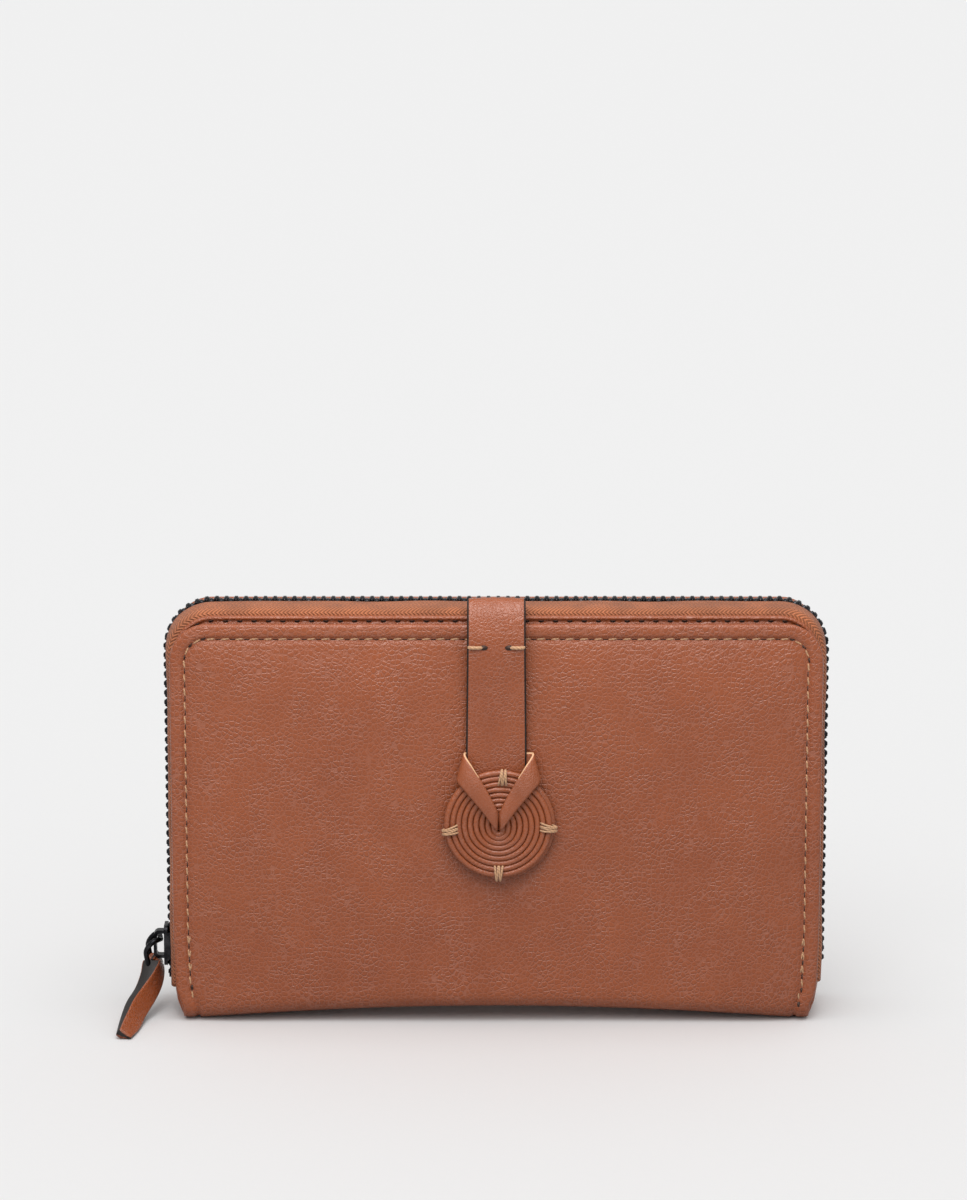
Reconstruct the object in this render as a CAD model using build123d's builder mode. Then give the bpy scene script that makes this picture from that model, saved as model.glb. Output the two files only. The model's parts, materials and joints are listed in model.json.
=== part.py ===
"""Zip-around wallet with a front pocket, a closing strap and a coiled leather disc.

Millimetres. X runs along the wallet, Y from the front pocket to the back, Z up.
The origin is the centre of the base, on the surface that the wallet stands on.
"""
from build123d import *
import math
import os

os.makedirs("parts", exist_ok=True)

# Overall size
panel_w = 185.0        # width of the leather covers
cover_h = 119.2        # height of the front and back covers
lip_step = 2.2         # how much lower the outer pocket panel ends
depth = 28.0           # outside of the pocket panel to outside of the back
corner_r = 11.0        # upper corners of the covers
fold_r = 4.0           # outer radius of the leather where it turns under the base

# Material thicknesses
leather_t = 1.6        # outer leather
cover_t = 1.4          # second leather, behind the pocket
board_t = 0.8          # stiffening board
lining_t = 0.4         # lining cloth
card_t = 0.6           # card slot leather
gusset_t = 0.6         # bellows at the sides
tape_t = 0.7           # woven zip tape
pocket_gap = 0.5       # the flat front pocket, empty
clear = 0.3            # between pieces that move past each other

# Inner pieces
seam_margin = 8.0      # how far boards and linings stay inside the cover's edge
card_slots_front = 3
card_slots_back = 4
card_step = 13.0       # each slot's mouth is this much lower than the next
card_low = 9.0
coin_wall_t = 0.7
coin_gap = 4.6         # inside of the coin pocket
coin_side_gap = 4.5    # between the coin pocket's side and the linings' edge
coin_low = 6.0
coin_headroom = 21.0   # from the coin pocket's mouth to the top of the covers
coin_y = 0.5           # middle of the coin pocket

# Zip round the wallet
zip_y = 1.0            # middle of the chain
pitch = 2.8            # along one row of teeth
tooth_t = 2.5          # across the tape
tooth_root = 2.6       # from the middle of the chain to the tooth's root
tooth_tip = 0.55       # how far a tooth reaches past the middle
tooth_rise = 2.05      # middle of the teeth outside the cover's edge
tape_seam = 7.0        # sewn margin of the tape inside the cover's edge
zip_low_right = 17.0   # lower end of the zip on the right
zip_low_left = 9.0     # lower end of the tape on the left

# Slider, bail and pull tab
slider_z = 19.0
slider_l = 12.0
flange_w = 0.9
plate_t = 1.0
wire_r = 0.8
bail_half_y = 4.2
bail_drop = 7.6
bail_out = 2.4
tab_t = 3.0
tab_w = 9.0

# Strap and disc
strap_w = 17.0
strap_t = 1.8          # both plies
strap_gap = 1.0        # strap's back to the pocket panel
bend_z = cover_h       # centre height of the strap's bend
disc_z = 60.0
disc_r = 16.3
cord_d = 1.6
disc_base_t = 0.8
ribbon_t = 0.8
snap_r = 7.0
snap_t = 0.4

# Places worked out from the sizes above, from the front to the back
half_w = panel_w / 2
pocket_h = cover_h - lip_step
front_y = -depth / 2
back_y = depth / 2
pocket_back_y = front_y + leather_t
cover_front_y = pocket_back_y + lining_t + pocket_gap
cover_back_y = cover_front_y + cover_t
front_lining_y = cover_back_y + board_t
front_cards_y = front_lining_y + lining_t
back_leather_y = back_y - leather_t
back_board_y = back_leather_y - board_t
back_lining_y = back_board_y - lining_t
coin_front_y = coin_y - coin_gap / 2 - coin_wall_t
coin_back_y = coin_y + coin_gap / 2
hinge_y = front_y + fold_r
hinge_z = fold_r
inner_half_w = half_w - seam_margin
inner_high = cover_h - seam_margin
coin_half_w = inner_half_w - coin_side_gap
coin_high = cover_h - coin_headroom
inner_r = max(corner_r - seam_margin, 2.0)


def stand(y):
    """An upright plane at this depth; its local X and Y are the wallet's X and Z."""
    return Plane.XZ.offset(-y)


def sheet_outline(half, low, high, radius):
    """Draw an upright sheet with rounded upper corners in the sketch in progress."""
    with BuildLine() as outline:
        FilletPolyline(
            (-half, low), (-half, high), (half, high), (half, low),
            radius=[0, radius, radius, 0], close=True,
        )
    make_face(outline.edges())


def save(part, name):
    """Label one node and write it."""
    part.label = name
    export_step(part, f"parts/{name}.step")


# ---------------------------------------------------------------- outer leather
with BuildPart() as front_pocket_panel:
    with BuildSketch(stand(front_y)):
        sheet_outline(half_w, fold_r, pocket_h, corner_r)
    extrude(amount=-leather_t)
save(front_pocket_panel.part, "front_pocket_panel")

with BuildPart() as front_pocket_lining:
    with BuildSketch(stand(pocket_back_y)):
        sheet_outline(inner_half_w, fold_r + 1.0, pocket_h - seam_margin, inner_r)
    extrude(amount=-lining_t)
save(front_pocket_lining.part, "front_pocket_lining")

with BuildPart() as front_cover_panel:
    with BuildSketch(stand(cover_front_y)):
        sheet_outline(half_w, hinge_z + 1.0, cover_h, corner_r)
    extrude(amount=-cover_t)
save(front_cover_panel.part, "front_cover_panel")

with BuildPart() as back_panel:
    with BuildSketch(stand(back_leather_y)):
        sheet_outline(half_w, fold_r, cover_h, corner_r)
    extrude(amount=-leather_t)
save(back_panel.part, "back_panel")

with BuildPart() as spine:
    with BuildSketch(Plane.YZ.offset(-half_w)):
        with BuildLine():
            Line((hinge_y, 0), (back_y - fold_r, 0))
            CenterArc((back_y - fold_r, fold_r), fold_r, -90, 90)
            Line((back_y, fold_r), (back_leather_y, fold_r))
            CenterArc((back_y - fold_r, fold_r), fold_r - leather_t, 0, -90)
            Line((back_y - fold_r, leather_t), (hinge_y, leather_t))
            Line((hinge_y, leather_t), (hinge_y, 0))
        make_face()
    extrude(amount=panel_w)
save(spine.part, "spine")

with BuildPart() as front_fold:
    with BuildSketch(Plane.YZ.offset(-half_w)):
        with BuildLine():
            CenterArc((hinge_y, hinge_z), fold_r, 180, 90)
            Line((hinge_y, 0), (hinge_y, leather_t))
            CenterArc((hinge_y, hinge_z), fold_r - leather_t, 270, -90)
            Line((front_y + leather_t, fold_r), (front_y, fold_r))
        make_face()
    extrude(amount=panel_w)
save(front_fold.part, "front_fold")

with BuildPart() as spine_lining:
    with BuildSketch(Plane.XY.offset(leather_t)):
        with Locations((0, (hinge_y + clear + back_y - fold_r) / 2)):
            Rectangle(2 * inner_half_w, back_y - fold_r - hinge_y - clear)
    extrude(amount=lining_t)
save(spine_lining.part, "spine_lining")

# ------------------------------------------------------- boards, linings, cards
with BuildPart() as front_stiffener:
    with BuildSketch(stand(cover_back_y)):
        sheet_outline(inner_half_w, card_low, inner_high, inner_r)
    extrude(amount=-board_t)
save(front_stiffener.part, "front_stiffener")

with BuildPart() as front_lining:
    with BuildSketch(stand(front_lining_y)):
        sheet_outline(inner_half_w, card_low, inner_high, inner_r)
    extrude(amount=-lining_t)
save(front_lining.part, "front_lining")

with BuildPart() as back_stiffener:
    with BuildSketch(stand(back_board_y)):
        sheet_outline(inner_half_w, card_low, inner_high, inner_r)
    extrude(amount=-board_t)
save(back_stiffener.part, "back_stiffener")

with BuildPart() as back_lining:
    with BuildSketch(stand(back_lining_y)):
        sheet_outline(inner_half_w, card_low, inner_high, inner_r)
    extrude(amount=-lining_t)
save(back_lining.part, "back_lining")

for slot in range(card_slots_front):
    mouth_z = inner_high - card_step * (slot + 1)
    with BuildPart() as card_slot:
        with BuildSketch(stand(front_cards_y + slot * card_t)):
            sheet_outline(inner_half_w, card_low, mouth_z, inner_r / 2)
        extrude(amount=-card_t)
    save(card_slot.part, f"front_card_slot_{slot + 1}")

for slot in range(card_slots_back):
    mouth_z = inner_high - card_step * (slot + 1)
    with BuildPart() as card_slot:
        with BuildSketch(stand(back_lining_y - (slot + 1) * card_t)):
            sheet_outline(inner_half_w, card_low, mouth_z, inner_r / 2)
        extrude(amount=-card_t)
    save(card_slot.part, f"back_card_slot_{slot + 1}")

# --------------------------------------------------------------- side bellows
bellows_attach_x = inner_half_w + 1.5
gusset_low = leather_t + lining_t + 0.2
bellows_fold_x = (inner_half_w + coin_half_w) / 2 + 1.5
for side, side_name in ((-1, "left"), (1, "right")):
    with BuildPart() as gusset:
        with BuildSketch(Plane.XY.offset(gusset_low)):
            with BuildLine():
                Polyline(
                    (side * bellows_attach_x, cover_back_y + board_t),
                    (side * bellows_fold_x, zip_y),
                    (side * bellows_attach_x, back_board_y),
                    (side * (bellows_attach_x + gusset_t), back_board_y),
                    (side * (bellows_fold_x + gusset_t), zip_y),
                    (side * (bellows_attach_x + gusset_t), cover_back_y + board_t),
                    close=True,
                )
            make_face()
        extrude(amount=inner_high - corner_r - gusset_low)
    save(gusset.part, f"gusset_{side_name}")


# ------------------------------------------------------------ zip round the edge
def edge_line(rise, low_right, low_left):
    """Draw the way round the covers' edge, outside it by rise, from right to left."""
    FilletPolyline(
        (half_w + rise, low_right), (half_w + rise, cover_h + rise),
        (-half_w - rise, cover_h + rise), (-half_w - rise, low_left),
        radius=corner_r + rise,
    )


def chain_place(line, distance):
    """A tooth's place: X along the chain, Y away from the wallet, Z to the back."""
    origin = line.position_at(distance, PositionMode.LENGTH)
    along = line.tangent_at(distance, PositionMode.LENGTH)
    return Location(Plane(origin=origin, x_dir=along, z_dir=(0, 1, 0)))


def tooth_outline(side, reach_root, reach_tip, root_w, tip_w):
    """Draw a tooth that tapers from its root on one side to its tip past the middle."""
    with BuildLine() as outline:
        Polyline(
            (-root_w / 2, side * reach_root), (root_w / 2, side * reach_root),
            (root_w / 2, side * reach_root * 0.45), (tip_w / 2, -side * reach_tip),
            (-tip_w / 2, -side * reach_tip), (-root_w / 2, side * reach_root * 0.45),
            close=True,
        )
    make_face(outline.edges())


with BuildLine(Plane.XZ) as tape_line:
    edge_line(0, zip_low_right, zip_low_left)

tape_rise = tooth_rise + tape_t / 2
tape_edge = 0.3        # the tape comes out of the seam just inside the cover's edge
tape_flat = 2.0        # level strip of tape beside the teeth
with BuildPart() as front_zip_tape:
    with BuildSketch(Plane.XY.offset(zip_low_right)):
        with BuildLine():
            Polyline(
                (half_w - tape_seam, cover_back_y), (half_w - tape_edge, cover_back_y),
                (half_w + tape_rise, zip_y - tooth_root - tape_flat),
                (half_w + tape_rise, zip_y - tooth_root),
                (half_w + tape_rise - tape_t, zip_y - tooth_root),
                (half_w + tape_rise - tape_t, zip_y - tooth_root - tape_flat + 0.2),
                (half_w - 2 * tape_edge, cover_back_y + tape_t),
                (half_w - tape_seam, cover_back_y + tape_t),
                close=True,
            )
        make_face()
    sweep(path=tape_line.wires()[0])
save(front_zip_tape.part, "front_zip_tape")

with BuildPart() as back_zip_tape:
    with BuildSketch(Plane.XY.offset(zip_low_right)):
        with BuildLine():
            Polyline(
                (half_w - tape_seam, back_leather_y), (half_w - tape_edge, back_leather_y),
                (half_w + tape_rise, zip_y + tooth_root + tape_flat),
                (half_w + tape_rise, zip_y + tooth_root),
                (half_w + tape_rise - tape_t, zip_y + tooth_root),
                (half_w + tape_rise - tape_t, zip_y + tooth_root + tape_flat - 0.2),
                (half_w - 2 * tape_edge, back_leather_y - tape_t),
                (half_w - tape_seam, back_leather_y - tape_t),
                close=True,
            )
        make_face()
    sweep(path=tape_line.wires()[0])
save(back_zip_tape.part, "back_zip_tape")

post_z = slider_z - slider_l / 2 + 2.2
chain_low_left = post_z + 2.4
with BuildLine(Plane.XZ) as chain_line:
    edge_line(tooth_rise, zip_low_right + 2.4, chain_low_left)
chain = chain_line.wires()[0]
tooth_count = int((chain.length - pitch) // pitch)

with BuildPart() as front_tooth:
    with BuildSketch(Plane.XZ):
        tooth_outline(1, -tooth_root, -tooth_tip, 1.9, 0.8)
    extrude(amount=tooth_t / 2, both=True)

with BuildPart() as back_tooth:
    with BuildSketch(Plane.XZ):
        tooth_outline(-1, -tooth_root, -tooth_tip, 1.9, 0.8)
    extrude(amount=tooth_t / 2, both=True)

# Local Z of a place on the chain points to the back, so a front tooth has its root at -Z.
front_places = [chain_place(chain, pitch * (i + 0.5)) for i in range(tooth_count)]
back_places = [chain_place(chain, pitch * (i + 1.0)) for i in range(tooth_count)]
zip_shift = Location((0, zip_y, 0))

with BuildPart() as front_zip_teeth:
    with Locations(*[zip_shift * place for place in front_places]):
        add(front_tooth.part)
save(front_zip_teeth.part, "front_zip_teeth")

with BuildPart() as back_zip_teeth:
    with Locations(*[zip_shift * place for place in back_places]):
        add(back_tooth.part)
save(back_zip_teeth.part, "back_zip_teeth")

stop_h = 2.0
stop_x = half_w + tooth_rise
with BuildPart() as zip_stop_joined:
    with BuildSketch(Plane.XY.offset(zip_low_right + 0.2)):
        with Locations((stop_x, zip_y)):
            Rectangle(tooth_t, 2 * tooth_root - 0.2)
    extrude(amount=stop_h)
    fillet(zip_stop_joined.edges().filter_by(Axis.Z), 0.5)
save(zip_stop_joined.part, "zip_stop_joined")

for side, side_name in ((-1, "front"), (1, "back")):
    with BuildPart() as zip_stop:
        with BuildSketch(Plane.XY.offset(zip_low_left + 0.4)):
            with Locations((-stop_x, zip_y + side * (tooth_root - 1.1))):
                Rectangle(tooth_t, 2.0)
        extrude(amount=stop_h)
        fillet(zip_stop.edges().filter_by(Axis.Z), 0.5)
    save(zip_stop.part, f"zip_stop_{side_name}")

# ------------------------------------------------------------- slider and pull
inner_plate_x = -half_w - tooth_rise + tooth_t / 2 + clear
outer_plate_x = -half_w - tooth_rise - tooth_t / 2 - clear
slot_half = tape_t / 2 + clear
flange_in = tooth_root + clear
slider_half_y = flange_in + flange_w

with BuildPart() as slider_body:
    for plate_x in (inner_plate_x, outer_plate_x - plate_t):
        with BuildSketch(Plane.YZ.offset(plate_x)):
            with Locations((zip_y, slider_z)):
                RectangleRounded(2 * slider_half_y, slider_l, 1.6)
        extrude(amount=plate_t)
    for side in (-1, 1):
        with BuildSketch(Plane.YZ.offset(outer_plate_x)):
            with Locations((zip_y + side * (flange_in + flange_w / 2), slider_z)):
                Rectangle(flange_w, slider_l - 4.0)
        extrude(amount=tooth_t / 2 + clear - slot_half)
        with BuildSketch(Plane.YZ.offset(inner_plate_x)):
            with Locations((zip_y + side * (flange_in + flange_w / 2), slider_z)):
                Rectangle(flange_w, slider_l - 4.0)
        extrude(amount=-(tooth_t / 2 + clear - slot_half))
    with BuildSketch(Plane.YZ.offset(outer_plate_x)):
        with Locations((zip_y, post_z)):
            Circle(0.8)
    extrude(amount=inner_plate_x - outer_plate_x)
save(slider_body.part, "slider_body")

bridge_x = outer_plate_x - plate_t
bridge_low = slider_z - 4.2
bridge_high = slider_z + 4.2
bridge_out = 3.2
with BuildPart() as slider_bridge:
    with BuildSketch(Plane.XZ.offset(-zip_y)):
        with BuildLine():
            FilletPolyline(
                (bridge_x, bridge_low), (bridge_x - bridge_out, bridge_low),
                (bridge_x - bridge_out, bridge_high), (bridge_x, bridge_high),
                radius=[0, 1.6, 1.6, 0], close=True,
            )
        make_face()
        with BuildLine():
            FilletPolyline(
                (bridge_x, bridge_low + 1.0), (bridge_x - bridge_out + 0.9, bridge_low + 1.0),
                (bridge_x - bridge_out + 0.9, bridge_high - 1.0), (bridge_x, bridge_high - 1.0),
                radius=[0, 0.8, 0.8, 0], close=True,
            )
        make_face(mode=Mode.SUBTRACT)
    extrude(amount=1.4, both=True)
save(slider_bridge.part, "slider_bridge")

bail_x = bridge_x - (bridge_out - 0.9) / 2
bail_z = slider_z + 1.4
bar_x = bail_x - bail_out
bar_z = bail_z - bail_drop
elbow = (bail_x - bail_out - 0.6, bail_z - 1.6)
with BuildPart() as bail:
    with BuildSketch(Plane.XZ.offset(-zip_y + bail_half_y)):
        with Locations((bail_x, bail_z), (bar_x, bar_z)):
            Circle(wire_r)
    extrude(amount=-2 * bail_half_y)
    for side in (-1, 1):
        with BuildSketch(Plane.XZ.offset(-zip_y - side * bail_half_y)):
            with BuildLine():
                Polyline(
                    (bail_x + 0.3, bail_z + 0.8), (elbow[0] + 0.2, elbow[1] + 1.0),
                    (elbow[0] - 0.8, elbow[1] - 0.2), (bar_x - 0.8, bar_z - 0.1),
                    (bar_x + 0.1, bar_z - 0.8), (bar_x + 0.8, bar_z),
                    (elbow[0] + 0.8, elbow[1] - 0.8), (bail_x + 0.6, bail_z - 0.5),
                    close=True,
                )
            make_face()
        extrude(amount=0.7, both=True)
save(bail.part, "bail")

tab_clear = 0.15
loop_r = wire_r + tab_clear
with BuildPart() as pull_tab_loop:
    with BuildSketch(Plane.XZ.offset(-zip_y + tab_w / 2 - 1.4)):
        with Locations((bar_x, bar_z)):
            Circle(loop_r + tab_t / 2 - 0.3)
            Circle(loop_r, mode=Mode.SUBTRACT)
    extrude(amount=-(tab_w - 2.8))
save(pull_tab_loop.part, "pull_tab_loop")

loop_out = loop_r + tab_t / 2 - 0.3
blade_top = Plane(
    origin=(bar_x - 0.62 * loop_out - 0.6, zip_y - 0.4, bar_z - 0.78 * loop_out - 0.8),
    x_dir=(0, 1, 0), z_dir=(-0.62, 0, -0.78),
)
blade_mid = Plane(
    origin=(bar_x - 3.6, zip_y - 14.2, 4.6),
    x_dir=(0.80, 0.55, -0.24), z_dir=(-0.27, -0.79, -0.55),
)
blade_tip = Plane(
    origin=(bar_x - 8.0, zip_y - 33.5, 2.0),
    x_dir=(0.80, 0.55, -0.24), z_dir=(-0.27, -0.92, -0.28),
)
with BuildPart() as pull_tab:
    with BuildSketch(blade_top):
        Rectangle(tab_w - 3.0, tab_t - 0.8)
    with BuildSketch(blade_mid):
        Rectangle(tab_w, tab_t)
    with BuildSketch(blade_tip):
        Rectangle(3.4, tab_t)
    loft(ruled=True)
save(pull_tab.part, "pull_tab")

# ------------------------------------------------------------------ strap
bend_y = (cover_front_y + cover_back_y) / 2 - 1.4
strap_inner_y = front_y - strap_gap
bend_in = bend_y - strap_inner_y
bend_out = bend_in + strap_t
foot_low = bend_z - 1.0
wedge_far_y = zip_y - tooth_root - tape_flat
wedge_low = foot_low - 1.0
with BuildPart() as strap_bend:
    with BuildSketch(Plane.YZ.offset(-strap_w / 2)):
        with BuildLine():
            CenterArc((bend_y, bend_z), bend_out, 0, 180)
            Line((bend_y - bend_out, bend_z), (bend_y - bend_in, bend_z))
            CenterArc((bend_y, bend_z), bend_in, 180, -180)
            Polyline(
                (bend_y + bend_in, bend_z), (bend_y + bend_in, foot_low),
                (bend_y + bend_out, foot_low), (bend_y + bend_out, bend_z),
            )
        make_face()
        with BuildLine():
            Polyline(
                (cover_back_y, cover_h - tape_edge), (wedge_far_y, cover_h + tape_rise),
                (wedge_far_y, wedge_low), (cover_back_y, wedge_low), close=True,
            )
        make_face(mode=Mode.SUBTRACT)
    extrude(amount=strap_w)
save(strap_bend.part, "strap_bend")

strap_low = disc_z - 8.0
ply_t = strap_t / 2
strap_front_y = strap_inner_y - strap_t
with BuildPart() as strap:
    with BuildSketch(stand(strap_front_y)):
        sheet_outline(strap_w / 2, strap_low, bend_z, 0)
    extrude(amount=-ply_t)
save(strap.part, "strap")

with BuildPart() as strap_backing:
    with BuildSketch(stand(strap_front_y + ply_t)):
        sheet_outline(strap_w / 2, strap_low, bend_z, 0)
    extrude(amount=-ply_t)
save(strap_backing.part, "strap_backing")

disc_base_y = strap_front_y - disc_base_t
coil_y = disc_base_y - cord_d
with BuildPart() as disc_base:
    with BuildSketch(stand(disc_base_y)):
        with Locations((0, disc_z)):
            Circle(disc_r - 1.0)
    extrude(amount=-disc_base_t)
save(disc_base.part, "disc_base")

coil_turns = 9
with BuildPart() as coil_disc:
    with BuildSketch(stand(coil_y)):
        with Locations((0, disc_z)):
            Circle(disc_r)
    extrude(amount=-cord_d)
    for turn in range(1, coil_turns):
        with BuildSketch(stand(coil_y)):
            with Locations((0, disc_z)):
                Circle(disc_r * turn / coil_turns + 0.15)
                Circle(disc_r * turn / coil_turns - 0.15, mode=Mode.SUBTRACT)
        extrude(amount=-0.4, mode=Mode.SUBTRACT)
save(coil_disc.part, "coil_disc")

ribbon_y = coil_y - ribbon_t
ear_z = disc_z + disc_r - 3.0
with BuildPart() as ribbon:
    with BuildSketch(stand(ribbon_y)):
        for side in (-1, 1):
            with BuildLine():
                Polyline(
                    (side * (strap_w / 2 + ribbon_t), ear_z + 6.0),
                    (side * (strap_w / 2 + ribbon_t), ear_z - 1.5),
                    (side * 0.4, disc_z - 2.0), (side * 0.4, disc_z + 5.5),
                    (side * (strap_w / 2 - 3.5), ear_z + 2.5), close=True,
                )
            make_face()
    extrude(amount=-ribbon_t)
    for side in (-1, 1):
        with BuildSketch(stand(ribbon_y)):
            with Locations((side * (strap_w / 2 + ribbon_t / 2), disc_z + disc_r + 0.9)):
                Rectangle(ribbon_t - 0.1, 4.0)
        extrude(amount=-(strap_inner_y - ribbon_y))
save(ribbon.part, "ribbon")

binding_w = 3.0
binding_r = 4.2
with BuildPart() as thread_bindings:
    for turn in range(4):
        bearing = turn * 90
        spoke = Plane(
            origin=(
                (disc_r - binding_r / 2) * math.cos(math.radians(bearing)),
                coil_y - 0.2,
                disc_z + (disc_r - binding_r / 2) * math.sin(math.radians(bearing)),
            ),
            x_dir=(math.cos(math.radians(bearing)), 0, math.sin(math.radians(bearing))),
            z_dir=(0, -1, 0),
        )
        with BuildSketch(spoke):
            Rectangle(binding_r, binding_w)
        extrude(amount=0.2, both=True)
save(thread_bindings.part, "thread_bindings")

with BuildPart() as snap_base:
    with BuildSketch(stand(front_y)):
        with Locations((0, disc_z)):
            Circle(snap_r)
    extrude(amount=snap_t)
save(snap_base.part, "snap_base")

with BuildPart() as snap_cap:
    with BuildSketch(stand(strap_inner_y)):
        with Locations((0, disc_z)):
            Circle(snap_r)
    extrude(amount=-(strap_gap - snap_t - clear))
save(snap_cap.part, "snap_cap")

# ------------------------------------------------------------------ coin pocket
for wall_y, wall_name in ((coin_front_y, "front"), (coin_back_y, "back")):
    with BuildPart() as coin_wall:
        with BuildSketch(stand(wall_y)):
            sheet_outline(coin_half_w, coin_low, coin_high, 1.5)
        extrude(amount=-coin_wall_t)
    save(coin_wall.part, f"coin_wall_{wall_name}")

coin_edge = 2.0
with BuildPart() as coin_border:
    with BuildSketch(stand(coin_front_y + coin_wall_t)):
        with BuildLine():
            Polyline(
                (-coin_half_w, coin_high - 6.0), (-coin_half_w, coin_low),
                (coin_half_w, coin_low), (coin_half_w, coin_high - 6.0),
                (coin_half_w - coin_edge, coin_high - 6.0),
                (coin_half_w - coin_edge, coin_low + coin_edge),
                (-coin_half_w + coin_edge, coin_low + coin_edge),
                (-coin_half_w + coin_edge, coin_high - 6.0), close=True,
            )
        make_face()
    extrude(amount=-coin_gap)
save(coin_border.part, "coin_border")

coin_pitch = 2.2
coin_tooth_root = 1.5
coin_tooth_tip = 0.4
coin_tooth_t = 1.6
coin_tape_t = 0.5
coin_zip_half = coin_half_w - 3.0
for side, side_name in ((-1, "front"), (1, "back")):
    wall_face = coin_y + side * coin_gap / 2
    with BuildPart() as coin_tape:
        with BuildSketch(Plane.YZ.offset(-coin_zip_half)):
            with BuildLine():
                Polyline(
                    (wall_face, coin_high - 5.5), (wall_face, coin_high),
                    (coin_y + side * coin_tooth_root, coin_high),
                    (coin_y + side * coin_tooth_root, coin_high - coin_tape_t),
                    (wall_face - side * coin_tape_t, coin_high - coin_tape_t),
                    (wall_face - side * coin_tape_t, coin_high - 5.5), close=True,
                )
            make_face()
        extrude(amount=2 * coin_zip_half)
    save(coin_tape.part, f"coin_tape_{side_name}")

coin_slider_l = 8.0
coin_slider_x = -coin_zip_half + coin_slider_l / 2
coin_post_x = coin_slider_x - coin_slider_l / 2 + 1.4
coin_teeth_from = coin_post_x + 1.6
coin_tooth_count = int((coin_zip_half - 2.0 - coin_teeth_from - coin_pitch) // coin_pitch)
for side, side_name in ((-1, "front"), (1, "back")):
    with BuildPart() as coin_tooth:
        with BuildSketch(Plane.XY):
            tooth_outline(side, coin_tooth_root, coin_tooth_tip, 1.45, 0.6)
        extrude(amount=coin_tooth_t / 2, both=True)
    tooth_z = coin_high - coin_tape_t / 2
    first_x = coin_teeth_from + coin_pitch * (0.5 if side < 0 else 1.0)
    with BuildPart() as coin_teeth:
        with Locations(*[
            (first_x + coin_pitch * i, coin_y, tooth_z) for i in range(coin_tooth_count)
        ]):
            add(coin_tooth.part)
    save(coin_teeth.part, f"coin_teeth_{side_name}")

coin_plate_t = 0.8
coin_slider_half = coin_gap / 2 - clear
coin_plate_low = coin_high - coin_tape_t / 2 - coin_tooth_t / 2 - clear
coin_plate_high = coin_high - coin_tape_t / 2 + coin_tooth_t / 2 + clear
lug_low = coin_plate_high + coin_plate_t
lug_h = 2.2
lug_l = 3.0
lug_half_y = 0.7
coin_pin_r = 0.5
coin_pin_z = lug_low + 0.8
with BuildPart() as coin_slider_body:
    for plate_z, half_y in (
        (coin_plate_low - coin_plate_t, coin_slider_half - coin_tape_t),
        (coin_plate_high, coin_slider_half),
    ):
        with BuildSketch(Plane.XY.offset(plate_z)):
            with Locations((coin_slider_x, coin_y)):
                RectangleRounded(coin_slider_l, 2 * half_y, 0.8)
        extrude(amount=coin_plate_t)
    with BuildSketch(Plane.XY.offset(coin_plate_low)):
        with Locations((coin_post_x, coin_y)):
            Circle(0.6)
    extrude(amount=coin_plate_high - coin_plate_low)
    with BuildSketch(Plane.XZ.offset(-coin_y)):
        with Locations((coin_slider_x, lug_low + lug_h / 2)):
            Rectangle(lug_l, lug_h)
        with Locations((coin_slider_x, coin_pin_z)):
            Circle(coin_pin_r + 0.25, mode=Mode.SUBTRACT)
    extrude(amount=lug_half_y, both=True)
save(coin_slider_body.part, "coin_slider_body")

puller_l = 15.0
puller_w = 5.0
puller_t = 0.8
fork_l = lug_l / 2 + 1.2
with BuildPart() as coin_puller:
    with BuildSketch(Plane.XY.offset(coin_pin_z - puller_t / 2)):
        with Locations((coin_slider_x + puller_l / 2, coin_y)):
            Rectangle(puller_l, puller_w)
        with Locations((coin_slider_x + puller_l - puller_w / 2, coin_y)):
            Circle(puller_w / 2 + 0.6)
            Circle(1.3, mode=Mode.SUBTRACT)
        with Locations((coin_slider_x + fork_l / 2, coin_y)):
            Rectangle(fork_l, 2 * (lug_half_y + clear), mode=Mode.SUBTRACT)
    extrude(amount=puller_t)
    with BuildSketch(Plane.XZ.offset(-coin_y)):
        with Locations((coin_slider_x, coin_pin_z)):
            Circle(coin_pin_r)
    extrude(amount=puller_w / 2, both=True)
save(coin_puller.part, "coin_puller")
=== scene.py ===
"""Looks of a zip-around wallet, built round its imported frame.

The leather hides, zip, strap, coiled disc and trimmings are surfaces worked out with
numpy in metres, in the frame's own axes: X along the wallet, Y to the back, Z up.
"""
import json
import math

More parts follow.
